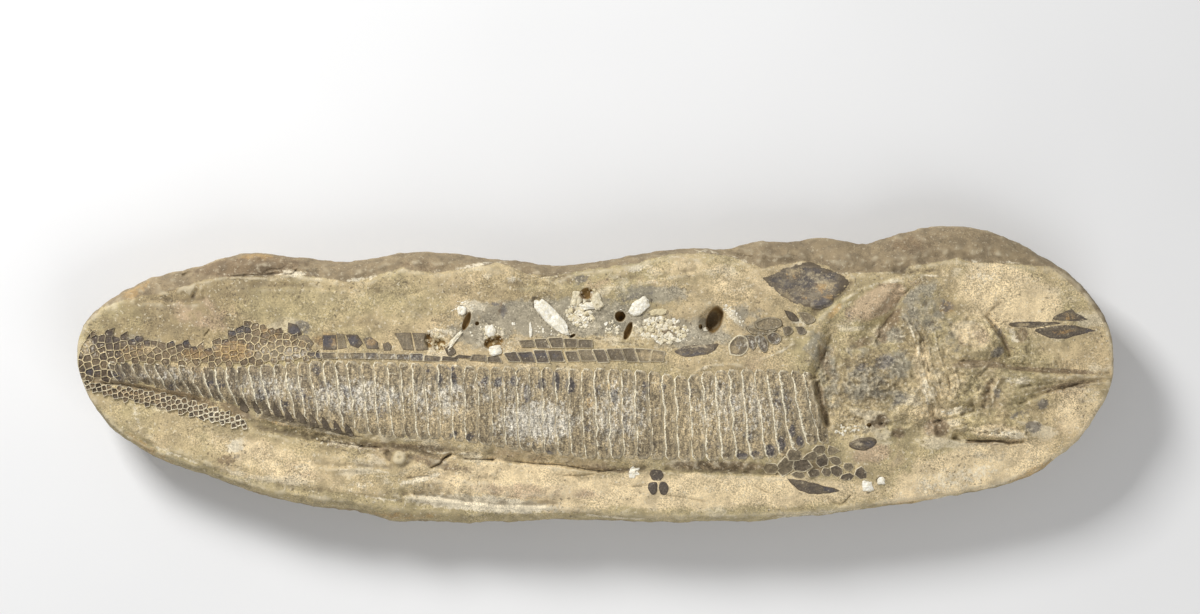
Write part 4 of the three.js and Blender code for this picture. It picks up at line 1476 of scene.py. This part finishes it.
def makeTail():
    chance = random.Random(11)
    low = [p for p in fish["flankBottom"] if p[0] < -307] + [[-306.8, -3.6], [-306, 8.4]]
    low += [[x, y + 0.2] for x, y in fish["flankTop"] if x > -305]
    high = [[x, lineAt(fish["tailTop"], x) + chance.uniform(-1.6, 1.2)] for x in np.arange(-325, -170, 2.3)]
    pieces = []
    for outline, share in grownCells(low, high, **tailSet["cells"]):
        x = np.mean(outline, axis=0)[0]
        outline = [[max(cx, lineAt(slabSet["leftEdge"], cy)), cy] for cx, cy in outline]
        if np.ptp([c[0] for c in outline]) < 1.5:
            continue
        # the outermost cells are often dark, with hardly a rim
        edge = 0.4 if share > 0.72 and chance.random() < 0.6 else chance.uniform(0.75, 1.0)
        tone = chance.uniform(0.0, 0.55) + 0.35 * (x < -296) + 0.4 * (edge < 0.5) - 0.2 * (x > -215)
        tilt = (chance.uniform(-0.08, 0.08), chance.uniform(-0.08, 0.08))
        pieces.append(layDisc(smallDisc, outline, profiles["tail"], min(tone, 1), 0.81, edge, tilt))
    return finishField(pieces, tailSet["marks"], tailSet["roughness"])


netSet = {
    "cells": {"start": -323, "end": -221, "pitch": 3.4, "height": 3.1, "jitter": 0.8, "lean": 1.0, "seed": 4},
    "rimStart": [[-262, 0.74], [-240, 0.6]],
    "marks": {"rust": [(-290, -14, 26, 3, -12, 0.4)]},
    "roughness": 0.3,
}


def makeBellyNet():
    chance = random.Random(5)
    pieces = []
    for outline, share in grownCells(fish["bellyEdge"], fish["bellyTop"], **netSet["cells"]):
        rimStart = lineAt(netSet["rimStart"], outline[0][0])
        tone = chance.uniform(0.1, 0.8)
        pieces.append(layDisc(smallDisc, outline, profiles["net"], tone, rimStart, chance.uniform(0.75, 1)))
    return finishField(pieces, netSet["marks"], netSet["roughness"])


backSet = {
    # low line, high line, start, end, pitch, row height, jitter, lean, tone from, tone to, profile, rim start
    "bands": [
        ([[-92, 10], [-70, 8], [-56, 7.4]],
            [[-92, 14], [-70, 12], [-56, 13]], -88, -58, 9.6, 20, 0.5, 2.6, 0.6, 0.9, "oval", 0.82),
        ([[-58, 7.4], [-40, 7.2], [-18, 7]],
            [[-58, 14], [-45, 15.6], [-18, 15.6]], -57, -19, 9.2, 20, 0.4, 2.6, 0.65, 1.0,
         "square", 0.8),
        ([[-20, 7], [0, 7.4], [30, 7.8], [50, 7.4]],
            [[-20, 15.6], [0, 16], [30, 16.8], [50, 14]], -19, 46, 9.0, 20, 0.5, 2.2,
         0.3, 0.75, "square", 0.8),
        ([[-50, 16.2], [0, 16.4]],
            [[-50, 22], [-20, 23.6], [0, 22.6]], -48, -3, 9.2, 20, 0.5, 1.2, 0.25, 0.65, "square", 0.8),
        ([[-184, 9.8], [-150, 9.6], [-105, 8.2], [-86, 7.4]],
            [[-184, 14], [-150, 14], [-105, 13.2], [-86, 11]],
         -184, -90, 9.6, 20, 1.9, 3.0, 0.1, 0.8, "oval", 0.76),
        ([[-212, -27.5], [-196, -31], [-176, -35.4], [-150, -41.4]],
            [[-212, -23], [-196, -25.4], [-176, -31.2], [-150, -38.6]],
         -212, -152, 7.4, 20, 1.0, 2.0, 0.0, 0.35, "shard", 0.86),
    ],
    "plates": [
        # outline, tone, rim strength
        ([[-127.4, 26.4], [-116.6, 26.6], [-114.4, 14.8], [-121.6, 15.4]], 0.45, 0.4),
        ([[-116.2, 26.5], [-107.4, 26.2], [-105.4, 15.2], [-113.4, 14.8]], 0.45, 0.4),
        ([[-172.9, 24.9], [-164, 25.2], [-163.2, 15.4], [-172.4, 15.1]], 1.0, 0.2),
        ([[-164, 26], [-159, 25.6], [-157, 16.6], [-162.6, 15.6]], 0.3, 0.3),
        ([[-158.4, 25.3], [-150.6, 25.4], [-146.8, 19.6], [-150, 16.2], [-155, 18.2]], 0.95, 0.4),
        ([[-147.2, 22.6], [-142.5, 24], [-137.4, 20.4], [-136.6, 15.8], [-144.4, 16]], 0.7, 0.4),
        ([[-134.8, 19.4], [-131, 20.6], [-128.6, 18.2], [-129, 15], [-133.6, 14.8]], 0.6, 0.2),
        ([[-190.6, 24.6], [-182.4, 25], [-177.4, 19.2], [-183.6, 14.8], [-189.4, 18]], 0.4, 0.3),
        ([[-203.6, 18.8], [-198, 19.4], [-196.2, 13.2], [-199.4, 9.6], [-204.2, 11.6]], 0.25, 0.9),
        ([[-214.6, 13], [-206, 14], [-204.8, 9.6], [-210, 8.4], [-215, 9.4]], 0.25, 0.9),
        ([[-194.8, 33], [-189, 31.6], [-185.2, 25.2], [-189.8, 23.4], [-195, 26.6]], 0.95, 0.3),
    ],
    "arcs": [
        # rounded outline, tone, rim strength: scales seen edge-on behind the shoulder
        ([[85.5, 13], [92, 12.5], [96, 17], [95, 22.5], [90, 24], [85, 19]], 0.5, 0.9),
        ([[94, 24], [99.5, 24.5], [101.5, 20], [99.5, 16], [95.6, 19]], 0.7, 1),
        ([[101, 23.6], [105, 24.6], [108.6, 20], [107.4, 14.5],
         [104, 16.4]], 0.75, 1),
         ([[108.4, 24.6], [113, 26.4], [117, 23], [114.6, 19.4], [110, 20.6]], 0.8, 1),
        ([[118.6, 29.6], [122.6, 30.2], [124.6, 27], [120, 24.8]], 0.5, 0.9),
        ([[126.6, 30], [131, 29.8], [133, 26.6], [129, 25.4]], 0.7, 0.9),
        ([[101.6, 33], [108, 35.6], [115.6, 34.6], [116.6, 30.6], [109, 28.6], [102.4, 29.8]], 0.25, 0.9),
        ([[119.8, 40.2], [125, 38.6], [128, 34.4], [123, 34.8]], 0.7, 0.3),
        ([[128.8, 39], [134, 38.6], [138.6, 34.6], [133, 32.4]], 0.3, 0.8),
        ([[96, 30], [101, 27.6], [108, 27], [114, 28.6], [108, 25.6], [99, 26]], 0.3, 1),
        ([[-95, 16.4], [-91, 17], [-88.6, 14],
         [-92.6, 12]], 0.7, 0.5),
    ],
    "shards": [
        # broken scales at the throat: x, y, half length, half width, turn, tone
        (129.5, -57.5, 5.8, 3.9, -8, 0.85), (143.4, -54.8, 4.4, 3.6, 20, 0.95),
        (118.8, -58.5, 5.5, 4.5, 30, 0.4),
        (138.4, -62.6, 4, 2.7, -10, 0.8), (146, -61.8, 3.4, 3, 0, 0.6), (152.6, -61.2, 3.4, 2.8, -30, 0.85),
        (158.6, -65.2, 4.2, 2.2, 10, 0.9), (168, -62.6, 4.6, 3.4, -40, 1), (136, -52, 4.4, 3, 10, 0.4),
        (151.6, -54.6, 3.8, 3, -20, 0.5), (125.4, -50.5, 5, 3.4, 0, 0.5), (111, -59.6, 4.6, 3.2, 0, 0.3),
        (159.6, -58.8, 3.4, 2.6, 0, 0.4), (128.6, -64, 4, 2, -10, 0.4), (142, -47.6, 3.8, 2.8, 0, 0.5),
        (149.6, -48, 3.4, 2.8, 0, 0.35),
    ],
    # dark leaf shapes where the lower scales overlap the belly's edge: their outline, and each one's x, y
    "leaf": [(-1.8, 5), (1.2, 1.4), (3.6, -3.8), (1.2, -4.6), (-2.0, -3.0), (-2.6, 1)],
    "leaves": [
        (-222.6, -19.4), (-214.4, -20.6), (-208, -21.8), (-201, -23.2), (-193.6, -26), (-186, -27),
        (-178.2, -29.6),
        (-170.6, -31.4), (-163.4, -33), (-156, -35.4),
    ],
}


def ovalOutline(x, y, halfX, halfY, turn, points, wobble, seed):
    chance = random.Random(seed)
    a = math.radians(turn)
    out = []
    for i in range(points):
        t = 2 * math.pi * i / points
        reach = 1 + chance.uniform(-wobble, wobble)
        u, v = halfX * math.cos(t) * reach, halfY * math.sin(t) * reach
        out.append([x + u * math.cos(a) - v * math.sin(a), y + u * math.sin(a) + v * math.cos(a)])
    return out


def makeBackScales():
    chance = random.Random(13)
    pieces = []
    for index, band in enumerate(backSet["bands"]):
        low, high, start, end, pitch, height, jitter, lean, toneLow, toneHigh, shape, rimStart = band
        for outline, share in grownCells(low, high, start, end, pitch, height, jitter, lean, 30 + index):
            middle = np.mean(outline, axis=0)
            outline = [[cx + 0.14 * lean * (middle[1] - cy), cy] for cx, cy in outline]
            tilt = (chance.uniform(-0.07, 0.07), chance.uniform(-0.07, 0.07))
            rim = chance.uniform(0.5, 1.0)
            tone = chance.uniform(toneLow, toneHigh)
            pieces.append(layDisc(smallDisc, outline, profiles[shape], tone, rimStart, rim, tilt))
    for outline, tone, rim in backSet["plates"]:
        pieces.append(layDisc(wideDisc, outline, profiles["plate"], tone, 0.9, rim))
    for outline, tone, rim in backSet["arcs"]:
        middle = np.mean(outline, axis=0)
        rounded = flow([middle + 1.16 * (np.array(p) - middle) for p in outline + [outline[0]]], 5)[:-1]
        pieces.append(layDisc(wideDisc, rounded.tolist(), profiles["oval"], tone, 0.78, rim))
    for index, (x, y, halfX, halfY, turn, tone) in enumerate(backSet["shards"]):
        outline = ovalOutline(x, y, 1.25 * halfX, 1.25 * halfY, turn, 6, 0.26, index)
        tilt = (chance.uniform(-0.12, 0.12), chance.uniform(-0.12, 0.12))
        pieces.append(layDisc(wideDisc, outline, profiles["shard"], 0.85 * tone, 0.78, 1, tilt))
    for x, y in backSet["leaves"]:
        outline = []
        for dx, dy in backSet["leaf"]:
            outline.append([x + chance.uniform(-0.5, 0.5) + dx, y + chance.uniform(-0.5, 0.5) + dy])
        pieces.append(layDisc(wideDisc, outline, profiles["leaf"], chance.uniform(0.6, 1), 0.88, 0.6))
    return finishField(pieces, {
        "dark": [(-170, 21, 5, 5, 0, 0.7), (-154, 21, 5, 4, 0, 0.7), (-38, 12, 20, 3, 0, 0.5),
            (-142, 13, 5, 3, 0, 0.5),
                 (-190, 28, 5, 4, 0, 0.8), (-112, 11, 9, 3, 0, 0.5), (-176, 12, 6, 3, 0, 0.6)],
        "rust": [(-167, 20, 3, 3.4, 0, 0.9), (-142, 20, 3.4, 3, 0, 0.8), (-185, 20, 5, 5, 0, 0.4)],
        "sand": [(34, 12, 12, 5, 0, 0.6), (-74, 10, 8, 4, 0, 0.4), (88, 16, 4, 4, 0, 0.6),
            (-160, 12, 10, 3, 0, 0.5)],
        "dust": [(110, 20, 26, 12, 0, 0.3), (-130, 11, 40, 3, 0, 0.3)],
    }, 0.35)


boneSet = {
    # name: outline, rise, tone
    "snoutSpindle": ([[318, 27.8], [308, 25], [296, 22.2], [288, 22.6], [281, 25.4], [277, 28.2], [287, 30],
        [302, 31.4]], 0.5, 0.45),
    "snoutStreak": ([[292, 31.6], [280, 29.6], [263, 30.4], [262, 33], [278, 33.2], [296, 33]], 0.4, 0.2),
    "snoutPatch": ([[301.5, 42], [306, 38], [312.5, 34.6], [301, 33.6], [288, 35.2]], 0.2, 0.2),
    "throatSpindle": ([[121, -65.6], [131, -67], [144, -70.2], [155.6, -73.6], [145, -75.8], [136, -76],
        [127, -72.6]], 0.7, 0.45),
    "throatOval": ([[160.4, -43], [167, -40.4], [176, -40], [178, -43.6], [173, -47.6], [165, -48],
        [160, -46]], 1.1, 0.2),
    "backOval": ([[49, 14.6], [57, 18], [68, 19.2], [78.5, 19.4], [76, 15.4], [70, 12.4], [58, 10.6],
        [50.4, 12.6]], 0.5, 0.1),
    "bellyRoundA": ([[33.8, -63.4], [36, -60], [41, -60.4], [43.4, -63.6], [41, -67.2], [36, -67]], 0.6, 0.9),
    "bellyRoundB": ([[33, -71.6], [34.2, -68.4], [38.6, -68], [39.2, -72], [37.6, -76],
        [34.2, -75.2]], 0.6, 1.0),
    "bellyRoundC": ([[39.6, -71.6], [40.8, -68.2], [45, -68.2], [46.6, -72], [44.6, -76],
        [40.8, -75.6]], 0.6, 1.0),
}
finOutline = [
    [105, 60.6], [113, 64.5], [121, 68], [129, 71], [137, 70.6], [145, 68], [152, 65.4], [160, 60.4],
    [161, 56],
    [156, 50.6], [151, 46], [145, 41.8], [138, 41], [128, 43.8], [117, 50], [110, 55.4],
]
bonePlate = [[0, 1.0], [0.5, 0.95], [0.8, 0.75], [0.93, 0.4], [1, -0.35]]


def layBones(entries, rim, ragged=0.5):
    pieces = []
    for outline, rise, tone in entries:
        profile = [[r, h * rise if h > 0 else h] for r, h in bonePlate]
        rounded = flow(list(outline) + [outline[0]], 6)[:-1]
        rounded += ragged * np.column_stack([lumpy(rounded, 3.2, 2), lumpy(rounded, 3.2, 4)])
        pieces.append(layDisc(wideDisc, rounded.tolist(), profile, tone, 0.88, rim))
    return pieces


boneMarks = {
    "rust": [(296, 27, 9, 2, 4, 0.5), (300, 36, 8, 3, 0, 0.4)],
    "dark": [
        (143, -54, 4, 3, 0, 0.9), (170, -64, 4, 4, 0, 0.9),
        (131, -57, 5, 3, 0, 0.5), (312, 27, 6, 2, 10, 0.6),
        (174, -44, 5, 3, 0, 0.7), (150, -74, 8, 2, -20, 0.8),
        (62, 13, 12, 2, 0, 0.5), (143, -45, 4, 3, 0, 0.8),
    ],
    "dust": [
        (136, -60, 24, 10, 0, 0.4), (64, 17, 14, 3, 4, 0.35),
        (290, 31, 20, 2, 0, 0.4), (166, -44, 5, 3, 0, 0.4),
    ],
    "sand": [(270, 31.6, 8, 2, 0, 0.5), (118, -58, 8, 4, 0, 0.4)],
}
finMarks = {
    "dark": [
        (134, 58, 9, 5, -20, 0.75), (122, 57, 8, 4, 0, 0.6),
        (143, 45, 8, 4, 14, 0.75), (155, 56, 6, 4, 40, 0.6),
        (138, 66, 10, 3, 0, 0.6), (113, 60, 6, 3, 0, 0.6), (128, 49, 7, 3, -30, 0.5), (149, 62, 6, 4, 0, 0.6),
    ],
    "rust": [
        (142, 55, 8, 4, 0, 0.6), (126, 62, 7, 3, 0, 0.4),
        (148, 49, 5, 3, 0, 0.6), (132, 49, 5, 3, 0, 0.5),
    ],
    "sand": [
        (144, 57, 5, 3, 0, 0.9), (120, 51, 8, 4, -30, 0.6),
        (126, 65, 8, 3, 20, 0.6), (150, 56, 5, 3, 0, 0.7),
    ],
    "dust": [(136, 60, 20, 9, 0, 0.35)],
}


def makeDarkBones():
    return finishField(layBones(boneSet.values(), 0.45), boneMarks, 0.4)


def makeFin():
    pieces = layBones([(finOutline, 0.5, 0.2)], 0.2, 0.9)
    # a round dark knob at the fin's root
    pieces += layBones([(ovalOutline(143.6, 45.2, 8, 4, 14, 14, 0.05, 2), 1.7, 0.55)], 0.5)
    return finishField(pieces, finMarks, 0.8)


def makeCalcite():
    chance = random.Random(21)
    pieces = []
    for index, (x, y, halfX, halfY, rise, turn, tone, ragged) in enumerate(lumpSet):
        bpy.ops.mesh.primitive_ico_sphere_add(subdivisions=5 if halfX > 2.5 else 3, radius=1)
        lump = bpy.context.object
        points = readPoints(lump) / 1000
        a = math.radians(turn)
        u, v, w = points.T
        blunt = np.hypot(u, v) / ((np.abs(u) ** 3.4 + np.abs(v) ** 3.4) ** (1 / 3.4) + 1e-9)
        u, v = u * blunt, v * blunt
        bumps = 1 + ragged * (0.7 * lumpy(np.column_stack([u * 2 + index, v * 2]), 1.1, index)
                              + 0.4 * lumpy(np.column_stack([u + w, v - w]), 0.3, index))
        height = np.sign(w) * np.abs(w) ** 0.6 * np.maximum(rise, 0.6) * bumps + np.minimum(rise, 0)
        flat = np.column_stack([
            x + (u * halfX * math.cos(a) - v * halfY * math.sin(a)) * bumps,
            y + (u * halfX * math.sin(a) + v * halfY * math.cos(a)) * bumps,
        ])
        writePoints(lump, np.column_stack([flat, height]))
        paint(lump, "tone", np.full(len(points), tone))
        pieces.append(lump)
    bpy.ops.mesh.primitive_ico_sphere_add(subdivisions=1, radius=1)
    unit = bpy.context.object
    base = readPoints(unit) / 1000
    for x, y, halfX, halfY, turn, count, biggest, tone in grainClusters:
        a = math.radians(turn)
        for _ in range(count):
            reach, angle = math.sqrt(chance.random()), chance.uniform(0, 2 * math.pi)
            size = biggest * chance.uniform(0.35, 1)
            squash = np.array([size * chance.uniform(0.7, 1.4), size, size * chance.uniform(0.5, 0.9)])
            shaken = base * squash * (1 + np.array([chance.uniform(-0.35, 0.35) for _ in base]))[:, None]
            u, v = halfX * reach * math.cos(angle), halfY * reach * math.sin(angle)
            shaken[:, 0] += x + u * math.cos(a) - v * math.sin(a)
            shaken[:, 1] += y + u * math.sin(a) + v * math.cos(a)
            pieces.append(copyOf(unit, shaken, min(1, max(0, tone + chance.uniform(-0.4, 0.4)))))
    bpy.data.objects.remove(unit)
    calcite = joinAll(pieces)
    displace(calcite, 0.6, None, fineCloud, "NORMAL")
    return paintField(calcite, {
        "rust": [(-6, 50, 5.4, 4, 0, 0.7), (-104, 21, 5, 6, 0, 0.45), (-96, 18, 5, 5, 0, 0.45),
            (-62, 21, 6, 3, 0, 0.45)],
        "dark": [(-10, 34, 9, 4, -20, 0.3), (44, 29, 15, 8, 0, 0.2)],
    })


scaleFinishes = {
    # name: plate, darker patches, worn rim, mottling, rim wear, streaks, gloss, grain
    "flankScale": ((0.34, 0.266, 0.154), (0.165, 0.127, 0.08), (0.82, 0.74, 0.55), 0.9, 0.9, 1.0, 0.5, 1.0),
    "tailScale": ((0.195, 0.138, 0.072), (0.068, 0.046, 0.03), (0.84, 0.71, 0.44), 0.5, 0.4, 0.3, 0.5, 0.8),
    "bellyNetScale": ((0.16, 0.11, 0.06), (0.07, 0.05, 0.03), (0.93, 0.85, 0.65), 0.3, 0.35, 0, 0.5, 0.7),
    "backScale": ((0.238, 0.188, 0.112), (0.1, 0.075, 0.048), (0.70, 0.61, 0.42), 0.5, 0.4, 0.3, 0.5, 0.55),
}
scaleFinish = {name: makeScaleFinish(name, *values) for name, values in scaleFinishes.items()}
darkBone = makeBoneFinish("darkBone", (0.22, 0.17, 0.10), (0.085, 0.066, 0.05), (0.60, 0.50, 0.33))
finBone = makeBoneFinish("finBone", (0.30, 0.24, 0.15), (0.135, 0.108, 0.08), (0.55, 0.46, 0.30))
calciteFinish = makeCalciteFinish()

finishPiece(makeFlank(), "flank_scales", scaleFinish["flankScale"])
finishPiece(makeTail(), "tail_scales", scaleFinish["tailScale"])
finishPiece(makeBellyNet(), "belly_scales", scaleFinish["bellyNetScale"])
finishPiece(makeBackScales(), "back_scales", scaleFinish["backScale"])
finishPiece(makeDarkBones(), "dark_bones", darkBone)
finishPiece(makeFin(), "back_fin", finBone)
finishPiece(makeCalcite(), "calcite_lumps", calciteFinish, 28)
for unit in (smallDisc, wideDisc):
    bpy.data.objects.remove(unit)


def makeFloor():
    bpy.ops.mesh.primitive_plane_add(size=8, location=(0, 0, 0))
    floor = bpy.context.object
    floor.name = "floor"
    material, tree, where = newFinish("paleFloor")
    paper = levels(tree, noise(tree, where, 400, 3, 0.5), 0.3, 0.7, 0.78, 0.82)
    colour = put(tree, "CombineColor", {i: paper for i in range(3)}).outputs[0]
    closeFinish(tree, colour, 0.8, noise(tree, where, 2, 2, 0.5), 0.02)
    floor.data.materials.append(material)


makeFloor()
print("floor laid")
